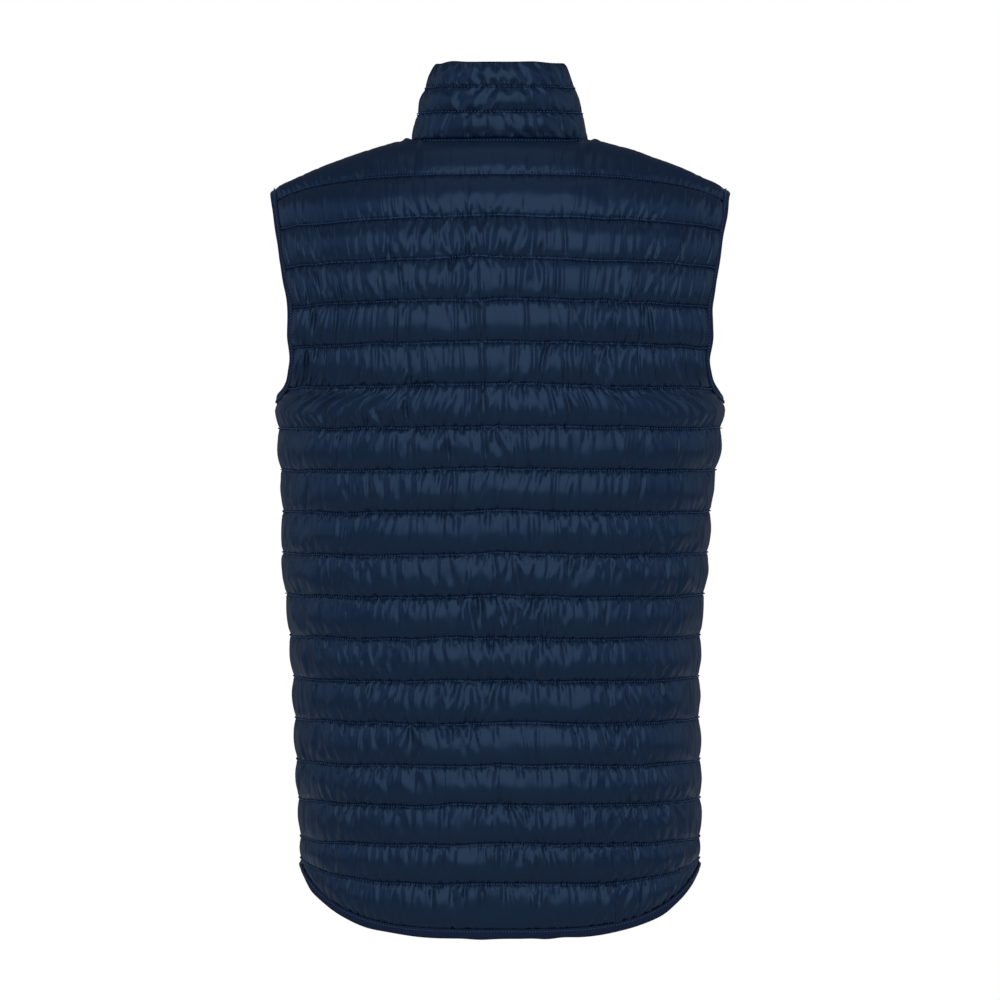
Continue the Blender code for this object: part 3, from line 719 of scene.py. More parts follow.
def grid_faces(index):
    """Faces of a grid. Where a column's first points are one and the same, its cells are triangles."""
    a, b = index[:-1, :-1], index[:-1, 1:]
    c, d = index[1:, 1:], index[1:, :-1]
    whole = (a != b) & (c != d)
    left = (a == b) & (c != d)
    right = (a != b) & (c == d)
    faces = np.stack([a, b, c, d], -1)[whole].tolist()
    faces += np.stack([a, c, d], -1)[left].tolist()
    faces += np.stack([a, b, c], -1)[right].tolist()
    return faces


def rim_faces(outer, inner, steps):
    """Faces between a fine edge and a coarse one, whose points stand beside the fine ones at the steps."""
    faces = []
    for k in range(len(steps) - 1):
        ring = list(outer[steps[k]:steps[k + 1] + 1]) + [inner[k + 1], inner[k]]
        distinct = [point for i, point in enumerate(ring) if point != ring[i - 1]]
        if len(distinct) > 2:
            faces.append(distinct)
    return faces


def new_piece(name, points, faces, material, maps=None):
    mesh = bpy.data.meshes.new(name)
    mesh.from_pydata(leaning(np.asarray(points)).tolist(), [], faces)
    mesh.materials.append(material)
    if maps is not None:
        layer = mesh.uv_layers.new(name="cloth")
        corners = np.empty(len(mesh.loops), np.int32)
        mesh.loops.foreach_get("vertex_index", corners)
        layer.data.foreach_set("uv", np.asarray(maps, np.float32)[corners].ravel())
    mesh.validate()
    mesh.shade_smooth()
    piece = bpy.data.objects.new(name, mesh)
    bpy.context.scene.collection.objects.link(piece)
    return piece


def face_outwards(piece):
    """Turns every face of a closed piece outwards."""
    shape = bmesh.new()
    shape.from_mesh(piece.data)
    bmesh.ops.recalc_face_normals(shape, faces=shape.faces)
    shape.to_mesh(piece.data)
    shape.free()
    return piece


def closed_pad(name, outer, inner, outer_index, inner_index, column_steps, row_steps, maps, material):
    """One closed padded piece, of a fine outer layer and a coarser lining."""
    inner_index = inner_index + outer[..., 0].size
    faces = grid_faces(outer_index) + grid_faces(inner_index)
    for fine, coarse, steps in ((outer_index, inner_index, row_steps),
                                (outer_index.T, inner_index.T, column_steps)):
        for end in (0, -1):
            faces += rim_faces(fine[end], coarse[end], steps)
    points = np.concatenate([outer.reshape(-1, 3), inner.reshape(-1, 3)])
    used = np.unique(np.concatenate([np.array(face) for face in faces]))
    place = np.full(len(points), -1)
    place[used] = np.arange(len(used))
    faces = [place[face].tolist() for face in faces]
    return face_outwards(new_piece(name, points[used], faces, material, maps[used]))


def even_columns(side):
    """Columns of a panel, evenly spaced round its middle rows."""
    fine = np.linspace(-1.0 if side == BACK else 0.0, 1.0, SPACING_POINTS)
    reach = distances_along(cloth(side, *panel_place(side, fine, np.full_like(fine, SPACING_ROW))))
    return np.interp(np.linspace(0, reach[-1], COLUMNS[side] + 1), reach, fine), reach[-1]


def drop_holes(points, outward, pinned):
    """Needle holes at every second column of the stitched lines, with the cloth beside them dimpled."""
    at_hole = (np.arange(len(points)) % 2 == 0)[:, None]
    moves = np.where(pinned & at_hole, -HOLE_DEPTH, 0.0)
    beside = ~pinned & (np.roll(pinned, 1, axis=1) | np.roll(pinned, -1, axis=1))
    moves += np.where(beside, np.where(at_hole, -DIMPLE, DIMPLE), 0.0)
    moves[[0, -1]] = 0.0
    return points + outward * moves[..., None]


def numbers(above):
    """Numbers of a grid's points, where all those above a column's top have the number of one."""
    count = np.arange(above.size).reshape(above.shape)
    first = np.where(above.any(axis=1), np.argmax(~above, axis=1) - 1, 0)
    top_point = count[np.arange(len(count)), np.maximum(first, 0)]
    return np.where(above, top_point[:, None], count)


class Quilting:
    """The fine grid of one quilted piece, as columns across it and rows down it.

    A panel and the collar each set: rng, rows (in quilting lines), across (in metres), above (points over
    a column's top), seam and normals (the form at the height of the stitched lines), edge (the distance
    from an edge), pinned (points that stitches hold), beside (1 at a panel's sides) and share (of the
    gathers).
    """

    lining_puff = LINING_PUFF
    topstitched = ()

    def fade(self):
        """0 at the edges and 1 well inside them."""
        return np.clip(self.edge / (2 * EDGE_ROUNDING), 0, 1)

    def folded(self, base, normals, pick, kind):
        return fold_cloth(self.rng, base, normals, self.rows[pick], self.pinned[pick], self.fade()[pick],
                          self.share[pick], kind)

    def outer(self):
        """The outer layer, settled into folds, creased and dimpled at its needle holes."""
        base = self.seam + self.normals * self.puff()[..., None]
        folded = self.folded(base, grid_normals(base, self.normals), ..., "outer")
        relief = self.relief() * (np.clip(self.edge / CREASE_EDGE, 0, 1) * ~self.pinned)
        folded += grid_normals(folded, self.normals) * relief[..., None]
        return drop_holes(folded, self.normals, self.pinned & ~self.above)

    def lining(self, pick):
        rise = channel_rise(self.rows[pick]) * quarter_round(self.edge[pick], EDGE_ROUNDING)
        normals = self.normals[pick]
        base = self.seam[pick] - normals * (LINING_DEPTH + self.lining_puff * rise)[..., None]
        return self.folded(base, -normals, pick, "lining")

    def line_paths(self):
        """The sewn lines of the settled cloth, each as its points and the cloth's directions there."""
        last = self.rows.shape[1] - 1
        for row in [*range(CHANNEL_ROWS, last, CHANNEL_ROWS), *self.topstitched]:
            sewn = self.pinned[:, row] & ~self.above[:, row]
            yield self.settled[sewn, row], self.normals[sewn, row]


class Panel(Quilting):
    """A quilted panel. u runs across it, from -1 or from 0 in the middle, to 1 at its outer edge."""

    def __init__(self, side, mirror, seed):
        self.side = side
        self.rng = np.random.default_rng(seed)
        columns, width = even_columns(side)
        rows = grid_rows(-1, LINES[side])
        if side == BACK:
            rows[TOPSTITCH_ROW] = TOPSTITCH_SHARE - 1
            self.topstitched = (TOPSTITCH_ROW,)
        self.u, self.rows = np.meshgrid(columns, rows, indexing="ij")
        self.across = np.tile(np.linspace(0, width, len(columns))[:, None], (1, len(rows)))
        self.tops = neck_rows(columns) if side == FRONT else np.full_like(columns, -1.0)
        self.cut_top()
        fraction, level = panel_place(side, self.u, self.rows + self.wobble())
        self.seam = cloth(side, fraction, level) * (mirror, 1, 1)
        self.normals = cloth_normal(side, fraction, level) * (mirror, 1, 1)
        self.close_seams()
        self.edge = edge_distances(self.seam, self.edge_points())
        self.pinned = self.find_pinned()
        self.beside = smooth_step((np.abs(self.u) - SIDE_START) / SIDE_SPAN)
        self.beside *= np.clip(self.rows - UNDERARM_ROW + 1, 0, 1)
        self.share = np.interp(self.rows, TOP_ROWS, TOP_GATHERS) * (1 - SIDE_SLACK * self.beside)

    def cut_top(self):
        """Gathers the points above the front neckline on it."""
        tops = self.tops[:, None]
        self.above = self.rows < tops + np.where(tops > -1 + STEP, LEAST_ROW, 0)
        self.rows = np.where(self.above, tops, self.rows)

    def wobble(self):
        """Small waves of each quilting line, in rows, none at the panel's edges."""
        columns, rows = self.rows.shape
        lines = LINES[self.side]
        waves = noise(self.rng, (columns, rows), (columns // WOBBLE_COLUMNS, lines * 2))
        edge = np.clip((1 - np.abs(self.u)) * WOBBLE_EASE, 0, 1)
        if self.side == FRONT:
            edge *= np.clip(self.u * WOBBLE_EASE, 0, 1)
        ends = np.clip(self.rows - np.maximum(self.tops[:, None], 0), 0, 1)
        ends *= np.clip(lines - self.rows, 0, 1)
        sag = LINE_SAG * np.sin(np.abs(self.u) ** SAG_POWER * math.pi)
        return (waves * LINE_WOBBLE + sag) / LINE_PITCH * edge * ends

    def close_seams(self):
        """Brings the panels together at the side and shoulder seams, so that no light falls through."""
        edges = ((-1, -2), (0, 1)) if self.side == BACK else ((-1, -2),)
        for edge, beside in edges:
            self.seam[edge] += unit(self.seam[edge] - self.seam[beside]) * SEAM_CLOSING
        self.seam[:, 0] += unit(self.seam[:, 0] - self.seam[:, 1]) * SEAM_CLOSING

    def edge_points(self):
        """Points of the edges that no quilting line follows."""
        edges = [self.seam[-1], self.seam[0]]
        if self.side == FRONT:
            edges.append(self.seam[self.above])
        return np.concatenate(edges)

    def find_pinned(self):
        pinned = on_lines(self.rows) | self.above
        pinned[[0, -1]] = True
        pinned[:, [0, -1]] = True
        if self.side == BACK:
            pinned[:, TOPSTITCH_ROW] = self.by_neck() > 0.5
        return pinned

    def by_neck(self):
        """1 under the back of the collar, where the panel is topstitched, and 0 on the shoulders."""
        inside = NECK_HALF_WIDTH + TOPSTITCH_OVERRUN - np.abs(self.seam[:, 0, 0])
        return np.clip(inside / TOPSTITCH_FADE, 0, 1)

    def puff(self):
        """Height of the padding over the stitched lines."""
        low = np.maximum(np.floor(self.rows + TINY), 0)
        height = row_height(self.side, self.u, low) - row_height(self.side, self.u, low + 1)
        rise = channel_rise(self.rows) * np.where(self.rows < 0, TOP_CHANNEL_PUFF, 1.0)
        if self.side == BACK:
            rise = rise + (self.topstitched_rise() - rise) * (self.by_neck()[:, None] * (self.rows < 0))
        puff = PUFF * rise * np.clip(height / LINE_PITCH, 0, 1) * quarter_round(self.edge, EDGE_ROUNDING)
        puff *= 1 - SIDE_CALM * self.beside
        inside = (self.rows > -1 + STEP) & (self.rows < LINES[self.side] - STEP)
        sunk = self.pinned & inside & (self.edge > STEP)
        return puff - LINE_DEPTH * sunk * self.fade()

    def topstitched_rise(self):
        """Height of the padding in the top channel where the topstitching parts it in two."""
        below = np.clip((self.rows + 1 - TOPSTITCH_SHARE) / (1 - TOPSTITCH_SHARE), 0, 1)
        above = np.clip((self.rows + 1) / TOPSTITCH_SHARE, 0, 1)
        rise = TOP_CHANNEL_PUFF * np.sin(below * math.pi) ** PUFF_ROUNDNESS
        return rise + TOPSTITCH_RIDGE * np.sin(above * math.pi)

    def relief(self):
        """Height of the panel's creases, and on the back of the faint upright line where it was folded."""
        relief = crease_relief(self.rng, self.across, self.rows + 1, self.beside, PANEL_CREASES)
        if self.side == FRONT:
            return relief
        fold = CENTRE_FOLD
        out = (self.seam[..., 0] - fold["x"]) / fold["width"]
        reach = smooth_step(self.rows - fold["first"]) * smooth_step(fold["last"] - self.rows)
        return relief - fold["depth"] * np.exp(-out ** 2 / 2) * reach


class Collar(Quilting):
    """The stand collar, from the right of the zip round the back to its left, with rows counted upwards."""

    lining_puff = COLLAR_LINING_PUFF

    def __init__(self, seed):
        self.rng = np.random.default_rng(seed)
        lows, highs = neck_lines()
        columns = len(lows)
        waves = noise(self.rng, (columns, 1), (columns // COLLAR_WAVE_COLUMNS, 1))[:, 0]
        highs[:, 2] += COLLAR_TOP_WAVE * waves
        self.rows = np.tile(grid_rows(0, COLLAR_CHANNELS), (columns, 1))
        rise = self.rows[..., None] / COLLAR_CHANNELS
        upright = (highs - lows)[:, None]
        middles = lows[:, None] + upright * rise
        self.normals = unit(np.cross(np.broadcast_to(upright, middles.shape), np.gradient(middles, axis=0)))
        reach = distances_along(lows)
        self.across = np.tile(reach[:, None], (1, self.rows.shape[1]))
        self.edge = np.minimum(self.across, reach[-1] - self.across)
        bow = COLLAR_BOW * np.sin(math.pi * rise[..., 0]) * quarter_round(self.edge, EDGE_ROUNDING)
        self.seam = middles + self.normals * bow[..., None]
        self.seam[:, 0, 2] -= COLLAR_TUCK
        self.pinned = on_lines(self.rows)
        self.pinned[[0, -1]] = True
        self.above = np.zeros_like(self.pinned)
        self.beside = np.zeros_like(self.rows)
        self.share = np.ones_like(self.rows)

    def puff(self):
        """Height of the padding over the stitched lines."""
        rise = channel_rise(self.rows) * quarter_round(self.edge, EDGE_ROUNDING)
        rise *= COLLAR_SIDE_PUFF + (1 - COLLAR_SIDE_PUFF) * np.abs(self.normals[..., 1])
        sunk = self.pinned & (self.rows > 0.5) & (self.rows < COLLAR_CHANNELS - 0.5)
        return COLLAR_PUFF * rise - LINE_DEPTH * sunk * self.fade()

    def relief(self):
        """Height of the collar's creases, whose channels are counted down from its top."""
        down = COLLAR_CHANNELS - self.rows[:, ::-1]
        return crease_relief(self.rng, self.across, down, self.beside, COLLAR_CREASES)[:, ::-1]


def column_at(side, x):
    """The panel column that stands at a sideways place on the ridge."""
    fraction = fraction_of(x, SHOULDER_HALF_WIDTH)
    return halve(np.zeros_like(x), np.ones_like(x),
                 lambda u: row_fraction(side, u, np.full_like(u, -1.0)) < fraction)


def neck_lines():
    """The neck seam from the right of the zip round to its left, and the collar's top edge over it."""
    lows, highs = [], []
    for side in (BACK, FRONT):
        start = 0.0 if side == BACK else ZIP_EDGE
        angles = np.linspace(0, math.pi / 2, COLLAR_COLUMNS[side] + 1)
        angles = angles[:-1] if side == BACK else angles[::-1]
        across, forward = np.sin(angles), np.cos(angles)
        u = column_at(side, start + (NECK_HALF_WIDTH - start) * across)
        rows = neck_rows(u) if side == FRONT else np.full_like(u, -1.0)
        lows.append(cloth(side, *panel_place(side, u, rows)))
        share = across ** 2 if side == BACK else 1 - forward ** COLLAR_TOP_FALL
        height = COLLAR_TOP_HEIGHT[side]
        highs.append(np.stack([start + (COLLAR_TOP_HALF_WIDTH - start) * across,
                               COLLAR_TOP_MIDDLE + side * COLLAR_TOP_DEPTH[side] * forward,
                               height + (COLLAR_TOP_SIDE - height) * share], -1))
    lows, highs = np.concatenate(lows), np.concatenate(highs)
    lows[:, 2] += COLLAR_SEAM_GAP
    return both_halves(lows), both_halves(highs)


def quilted_piece(name, node, layer, material):
    """A padded piece of an outer layer and a coarser lining, in the place of its solid."""
    columns, rows = layer.rows.shape
    column_steps = list(range(0, columns, LINING_COLUMN_STEP))
    row_steps = [row for row in range(rows) if row % CHANNEL_ROWS in LINING_ROW_STEPS]
    pick = np.ix_(column_steps, row_steps)
    layer.settled = layer.outer()
    inner = layer.lining(pick)
    maps = np.stack([layer.across, layer.rows + 1], -1)
    maps = np.concatenate([maps.reshape(-1, 2), maps[pick].reshape(-1, 2)])
    piece = closed_pad(name, layer.settled, inner, numbers(layer.above), numbers(layer.above[pick]),
                       column_steps, row_steps, maps, material)
    settle_in(piece, "quilted_nylon", node)


def settle_in(piece, slot, *nodes):
    """Says what body a piece rides on and hides the solids it stands for; slot, what it is made of, is not
    used.
    """
    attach(piece, "vest")
    if nodes:
        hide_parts(*nodes)


# Paths along the vest's edges, each as points, outs and normals, and what is sewn on them

def evenly(spacing, closed, path, *others):
    """A path resampled at even steps, with directions given for its points."""
    reach = distances_along(path)
    count = max(int(round(reach[-1] / spacing)), 2)
    at = np.linspace(0, reach[-1], count + 1)
    if closed:
        at = at[:-1]
    arrays = [path] + [unit(other) for other in others]
    return [np.stack([np.interp(at, reach, array[:, k]) for k in range(3)], -1) for array in arrays]


def smoothed(array, closed, passes):
    for _ in range(passes):
        before, after = np.roll(array, 1, axis=0), np.roll(array, -1, axis=0)
        averaged = array / 2 + (before + after) / 4
        if not closed:
            averaged[[0, -1]] = array[[0, -1]]
        array = averaged
    return array


def even_path(points, directions, closed, passes):
    """A path and the directions along it at even steps, smoothed."""
    points, directions = evenly(BINDING_STEP, closed, points, directions)
    return smoothed(points, closed, passes), unit(smoothed(directions, closed, passes))


def panel_edge(*runs):
    """Points and normals along the panels' edges, from runs of (side, u, rows)."""
    places = [(side, *panel_place(side, u, rows)) for side, u, rows in runs]
    return [np.concatenate([of(*place) for place in places]) for of in (cloth, cloth_normal)]


def armhole_path(mirror):
    """The armhole's edge from the underarm up the back and down the front."""
    rows = np.linspace(UNDERARM_ROW, -1.0, ARMHOLE_POINTS)
    edge = np.ones_like(rows)
    points, normals = panel_edge((BACK, edge, rows), (FRONT, edge, rows[::-1]))
    points, normals = even_path(points, normals, True, BINDING_PASSES)
    along = np.roll(points, -1, axis=0) - np.roll(points, 1, axis=0)
    outs = unit(np.cross(normals, unit(along)))
    return [array * (mirror, 1, 1) for array in (points, outs, normals)]


def hem_path():
    """The hem's edge from the right of the zip round the back to its left."""
    back, front = np.linspace(0, 1, HEM_POINTS[BACK]), np.linspace(1, 0, HEM_POINTS[FRONT])
    runs = [(side, u, np.full_like(u, LINES[side])) for side, u in ((BACK, back), (FRONT, front))]
    points, normals = (both_halves(half) for half in panel_edge(*runs))
    points, normals = even_path(points, normals, False, BINDING_PASSES)
    return points, unit(np.cross(normals, unit(np.gradient(points, axis=0)))), normals


def zip_path():
    """The left front's and collar's closed edge, from the hem up, and the lie of the cloth beside it."""
    top = neck_rows(np.zeros(1))[0]
    rows = np.linspace(LINES[FRONT], top, ZIP_POINTS)
    edge = cloth(FRONT, *panel_place(FRONT, np.zeros_like(rows), rows))
    inner_rows = np.maximum(rows, top + INSIDE_TOP)
    beside = cloth(FRONT, *panel_place(FRONT, np.full_like(rows, INSIDE_EDGE), inner_rows))
    lows, highs = neck_lines()
    share = np.linspace(0, 1, COLLAR_ZIP_POINTS)[:, None]
    collar, collar_beside = (lows[k] + (highs[k] - lows[k]) * share for k in (-1, -1 - INSIDE_COLUMNS))
    points = np.concatenate([edge, collar])
    outs = np.concatenate([beside, collar_beside]) - points
    outs[:, 2] = 0.0
    points, outs = even_path(points, outs, False, ZIP_PASSES)
    return points, outs, unit(np.cross(outs, np.gradient(points, axis=0)))


def carried(path, section):
    """Rings of a strip, whose section of (out, up) pairs is carried along a path."""
    points, outs, normals = (array[:, None] for array in path)
    return points + outs * section[..., :1] + normals * section[..., 1:]


def band(name, rings, closed, material, slot, node):
    """A strip of cloth made of rings one after the other, stretched over what it binds."""
    count, size = rings.shape[:2]
    index = np.arange(count * size).reshape(count, size)
    ahead = np.roll(index, -1, axis=0)
    if not closed:
        index, ahead = index[:-1], ahead[:-1]
    faces = np.stack([index, np.roll(index, -1, axis=1), np.roll(ahead, -1, axis=1), ahead], -1)
    faces = faces.reshape(-1, 4).tolist()
    if not closed:
        faces += [list(range(size))[::-1], list(range((count - 1) * size, count * size))]
    middle = rings.mean(axis=1)
    reach = distances_along(middle)
    around = np.linspace(0, 1, size)
    maps = np.stack(np.broadcast_arrays(reach[:, None], around[None]), -1).reshape(-1, 2)
    piece = face_outwards(new_piece(name, rings.reshape(-1, 3), faces, material, maps))
    settle_in(piece, slot, node)


def folded_strip():
    """The section of the folded elastic, with its thickness."""
    route = np.array(BINDING_ROUTE)
    along = unit(np.gradient(route, axis=0))
    side = np.stack([-along[:, 1], along[:, 0]], -1) * BINDING_THICKNESS / 2
    return np.concatenate([route + side, (route - side)[::-1]])


def bound_edge(edge, ending, path, closed, seed, material, threads):
    """A folded elastic, a little uneven where it gathers the cloth, and its stitches."""
    points, outs, normals = path
    count = len(points)
    waves = noise(np.random.default_rng(seed), (count, 2), (count // BINDING_WAVE_POINTS, 1))
    ease = np.minimum(np.arange(count), np.arange(count)[::-1]) / BINDING_EASE_POINTS
    waves *= np.clip(ease, 0, 1)[:, None]
    tail = 0 if closed else np.clip(points[:, 1:2] / TAIL_DEPTH, 0, 1) * np.clip(-outs[:, 2:3], 0, 1)
    reach = 1 + (BINDING_WIDTH_WAVE * waves[:, :1] + TAIL_DROP * tail) / BINDING_WIDTH
    out, up = folded_strip().T
    sections = np.stack([out * reach, up + BINDING_HEIGHT_WAVE * waves[:, 1:]], -1)
    band(edge + "_elastic" + ending, carried(path, sections), closed, material, "elastic_binding",
         edge + "_binding" + ending)
    sewn = points + normals * BINDING_STITCH_HEIGHT + outs * BINDING_STITCH_OUT
    edge_threads(edge + "_stitches" + ending, sewn, normals, closed, threads)


# Sewing threads

def ring_faces(size, rings, first=0):
    """Faces between one solid's rings, whose points are counted from the first."""
    ring = np.arange(size)
    following = (ring + 1) % size
    low = first + size * np.arange(rings - 1)[:, None]
    corners = [low + ring, low + following, low + size + following, low + size + ring]
    return np.stack(corners, -1).reshape(-1, 4)


def repeated(points, *groups):
    """Points and faces of many equal solids, from every solid's points and the faces of one."""
    starts_at = np.arange(len(points))[:, None, None] * points.shape[1]
    faces = []
    for group in groups:
        faces += (np.array(group) + starts_at).reshape(-1, len(group[0])).tolist()
    return points.reshape(-1, 3), faces


def thread_parts(starts, ends, outs):
    """Short threads from each start to its end, arched outwards and tucked in at both ends."""
    along = ends - starts
    sides = unit(np.cross(along, outs))
    ups = unit(np.cross(sides, along))
    rows = [starts - ups * THREAD_RADIUS]
    for share, thickness in THREAD_RINGS:
        centre = starts + along * share + ups * (THREAD_RADIUS * (1 - (2 * share - 1) ** 2))
        for angle in np.arange(THREAD_SIDES) * 2 * math.pi / THREAD_SIDES:
            around = sides * math.cos(angle) + ups * math.sin(angle)
            rows.append(centre + around * (THREAD_RADIUS * thickness))
    rows.append(ends - ups * THREAD_RADIUS)
    ring = np.arange(THREAD_SIDES)
    following = (ring + 1) % THREAD_SIDES
    last = 1 + (len(THREAD_RINGS) - 1) * THREAD_SIDES
    tips = [[0, 1 + b, 1 + a] for a, b in zip(ring, following)]
    tips += [[len(rows) - 1, last + a, last + b] for a, b in zip(ring, following)]
    return repeated(np.stack(rows, 1), ring_faces(THREAD_SIDES, len(THREAD_RINGS), 1), tips)


def joined(parts):
    """One list of points and one of faces from several."""
    points, faces, count = [], [], 0
    for part_points, part_faces in parts:
        points.append(part_points)
        faces += [[corner + count for corner in face] for face in part_faces]
        count += len(part_points)
    return np.concatenate(points), faces


def quilting_threads(name, layer, material):
    """Stitches from hole to hole along every sewn line of a quilted piece."""
    parts = []
    for points, normals in layer.line_paths():
        lifted = points + normals * THREAD_LIFT
        holes = len(points) // 2 * 2
        starts, ends = lifted[0:holes - 2:2], lifted[2:holes:2]
        inset = (ends - starts) * THREAD_INSET
        parts.append(thread_parts(starts + inset, ends - inset, normals[1:holes - 1:2]))
    settle_in(new_piece(name, *joined(parts), material), "quilted_nylon")


def edge_threads(name, path, outs, closed, material):
    """Stitches at an even pitch along an edge."""
    if closed:
        path, outs = np.concatenate([path, path[:1]]), np.concatenate([outs, outs[:1]])
    points, outs = evenly(STITCH_PITCH, False, path, outs)
    inset = np.diff(points, axis=0) * EDGE_THREAD_INSET
    parts = thread_parts(points[:-1] + inset, points[1:] - inset, unit(outs[:-1]))
    settle_in(new_piece(name, *parts, material), "elastic_binding")


# The zip

def zip_tapes(path, material, threads):
    near, far = TAPE_NEAR - ZIP_EDGE, TAPE_FAR - ZIP_EDGE
    section = np.array([(near, TAPE_BACK), (far, TAPE_BACK), (far, TAPE_FRONT),
                        (near + TAPE_BEAD_WIDTH, TAPE_FRONT),
                        (near + TAPE_BEAD_WIDTH / 2, TAPE_FRONT + TAPE_BEAD_HEIGHT), (near, TAPE_FRONT)])
    for name, mirror in SIDES:
        edge = [array * (mirror, 1, 1) for array in path]
        points, outs, normals = edge
        band("zip_ribbon_" + name, carried(edge, section), False, material, "zip_tape", "zip_tape_" + name)
        sewn = points - outs * TAPE_STITCH_INSET + normals * TAPE_FRONT
        edge_threads("zip_ribbon_stitches_" + name, sewn, normals, False, threads)


def zip_teeth(path, material):
    """Both rows of moulded teeth, which mesh in the middle, up to the slider."""
    middle = path[0] * (0, 1, 1)
    outs = np.tile([1.0, 0.0, 0.0], (len(middle), 1))
    normals = unit(np.cross(outs, np.gradient(middle, axis=0)))
    points, outs, normals = evenly(TOOTH_PITCH / 2, False, middle, outs, normals)
    lows, highs = neck_lines()
    under = points[:, 2] < lows[-1, 2] + (highs[-1, 2] - lows[-1, 2]) * SLIDER_SHARE
    points, outs, normals = points[under], outs[under], normals[under]
    along = unit(np.gradient(points, axis=0))
    depth = (CHAIN_FRONT - CHAIN_BACK) / 2
    height = TOOTH_PITCH * TOOTH_SHARE / 2
    x_middle = CHAIN_HALF_WIDTH / 2
    ring = np.arange(len(TOOTH_OUTLINE))
    caps = np.stack([ring[::-1], (len(TOOTH_LEVELS) - 1) * len(ring) + ring])
    parts = []
    for offset, mirror in ((0, 1), (1, -1)):
        centre = points[offset::2] + normals[offset::2] * (CHAIN_FRONT + CHAIN_BACK) / 2
        across, up, out = outs[offset::2] * mirror, along[offset::2], normals[offset::2]
        rows = [centre + across * (x_middle + (x * CHAIN_HALF_WIDTH - x_middle) * size)
                + up * (z * height * size) + out * (level * depth)
                for level, size in TOOTH_LEVELS for x, z in TOOTH_OUTLINE]
        parts.append(repeated(np.stack(rows, 1), ring_faces(len(ring), len(TOOTH_LEVELS)), caps))
    piece = new_piece("zip_teeth_rows", *joined(parts), material)
    piece.data.set_sharp_from_angle(angle=math.radians(TOOTH_EDGE_ANGLE))
    settle_in(face_outwards(piece), "zip_teeth", "zip_chain")


# Materials

NYLON_COLOUR = (0.0069, 0.0150, 0.0358)
# Painted shade: the shares of the nylon's colour at the bottom of the stitched grooves, where shade falls;
# the random tone leans a little towards them too
GROOVE_SHADE_SHARES = (0.22, 0.38, 0.72)
ELASTIC_COLOUR = (0.0058, 0.0135, 0.0400)
TAPE_COLOUR = (0.0090, 0.0185, 0.0450)
THREAD_COLOUR = (0.0300, 0.0660, 0.1400)
TEETH_COLOUR = (0.0110, 0.0170, 0.0340)
METAL_COLOUR = (0.0200, 0.0240, 0.0340)
SPECULAR_TINT = (0.36, 0.62, 1.0, 1.0)

# Patterns of the cloths: scales across the nylon and along its rows, lengths of loops and ribs in metres,
# and numbers of ribs and yarns round a strip
PUCKER_SCALES = (330.0, 1.6)
CREASE_SCALES = (150.0, 1.2)
BEND_SCALES = (70.0, 0.35)
ABOVE_LINE_SHARE = 0.7
CREASE_SHARE = 0.22
LOOP_LENGTH = 0.0009
RIB_LENGTH = 0.0008
ELASTIC_RIBS = 44
TAPE_YARNS = 30


def add_node(tree, kind, inputs, **settings):
    """A node with its settings, whose inputs are plain values or other nodes' outputs."""
    item = tree.nodes.new("ShaderNode" + kind)
    for name, value in settings.items():
        setattr(item, name, value)
    for name, value in inputs.items():
        if isinstance(value, bpy.types.NodeSocket):
            tree.links.new(value, item.inputs[name])
        else:
            item.inputs[name].default_value = value
    return item


class Finish:
    """A material, whose patterns are built of nodes. Its methods take numbers or other nodes' outputs."""

    def __init__(self, name, colour, roughness, **settings):
        self.material = bpy.data.materials.new(name)
        self.material.use_nodes = True
        self.tree = self.material.node_tree
        self.shader = self.tree.nodes["Principled BSDF"]
        self.shader.inputs["Base Color"].default_value = (*colour, 1.0)
        self.shader.inputs["Roughness"].default_value = roughness
        for socket, value in settings.items():
            self.shader.inputs[socket.replace("_", " ")].default_value = value

    def math(self, operation, first, second=0.0, third=0.0):
        return add_node(self.tree, "Math", {0: first, 1: second, 2: third}, operation=operation).outputs[0]

    def times(self, first, second):
        return self.math("MULTIPLY", first, second)

    def plus(self, value, share, rest):
        """A share of a value, with the rest added."""
        return self.math("MULTIPLY_ADD", value, share, rest)

    def smooth_range(self, value, low, high, start=0.0, end=1.0):
        inputs = {"Value": value, "From Min": low, "From Max": high, "To Min": start, "To Max": end}
        return add_node(self.tree, "MapRange", inputs, interpolation_type="SMOOTHSTEP").outputs["Result"]

    def cloth_map(self):
        """How far across the cloth a place is, in metres, and its row."""
        place = add_node(self.tree, "UVMap", {}, uv_map="cloth").outputs["UV"]
        parts = add_node(self.tree, "SeparateXYZ", {"Vector": place})
        return parts.outputs["X"], parts.outputs["Y"]

    def ripple(self, value, count):
        """Even waves, so many to each 1 of the value."""
        return self.math("SINE", self.times(value, 2 * math.pi * count))

    def noise(self, place, scale, detail):
        return add_node(self.tree, "TexNoise", {"Vector": place, "Scale": scale, "Detail": detail}).outputs[0]

    def cloth_noise(self, across, row, scales, detail=1.0):
        """Noise on the cloth, with a scale across it and one along its rows."""
        scaled = {"X": self.times(across, scales[0]), "Y": self.times(row, scales[1])}
        return self.noise(add_node(self.tree, "CombineXYZ", scaled).outputs[0], 1.0, detail)

    def object_noise(self, scale, detail=2.0):
        return self.noise(add_node(self.tree, "TexCoord", {}).outputs["Object"], scale, detail)

    def shade(self, factor, dark, light):
        """Base colour from a factor, between a dark and a light share of the colour or of its channels."""
        socket = self.shader.inputs["Base Color"]
        ends = [(*np.multiply(socket.default_value[:3], share), 1.0) for share in (dark, light)]
        mix = add_node(self.tree, "Mix", {"Factor": factor}, data_type="RGBA")
        mix.inputs[6].default_value, mix.inputs[7].default_value = ends
        self.tree.links.new(mix.outputs[2], socket)

    def bump(self, height, depth):
        """Relief of the given depth in metres."""
        bump = add_node(self.tree, "Bump", {"Height": height, "Strength": 1.0, "Distance": depth})
        self.tree.links.new(bump.outputs[0], self.shader.inputs["Normal"])


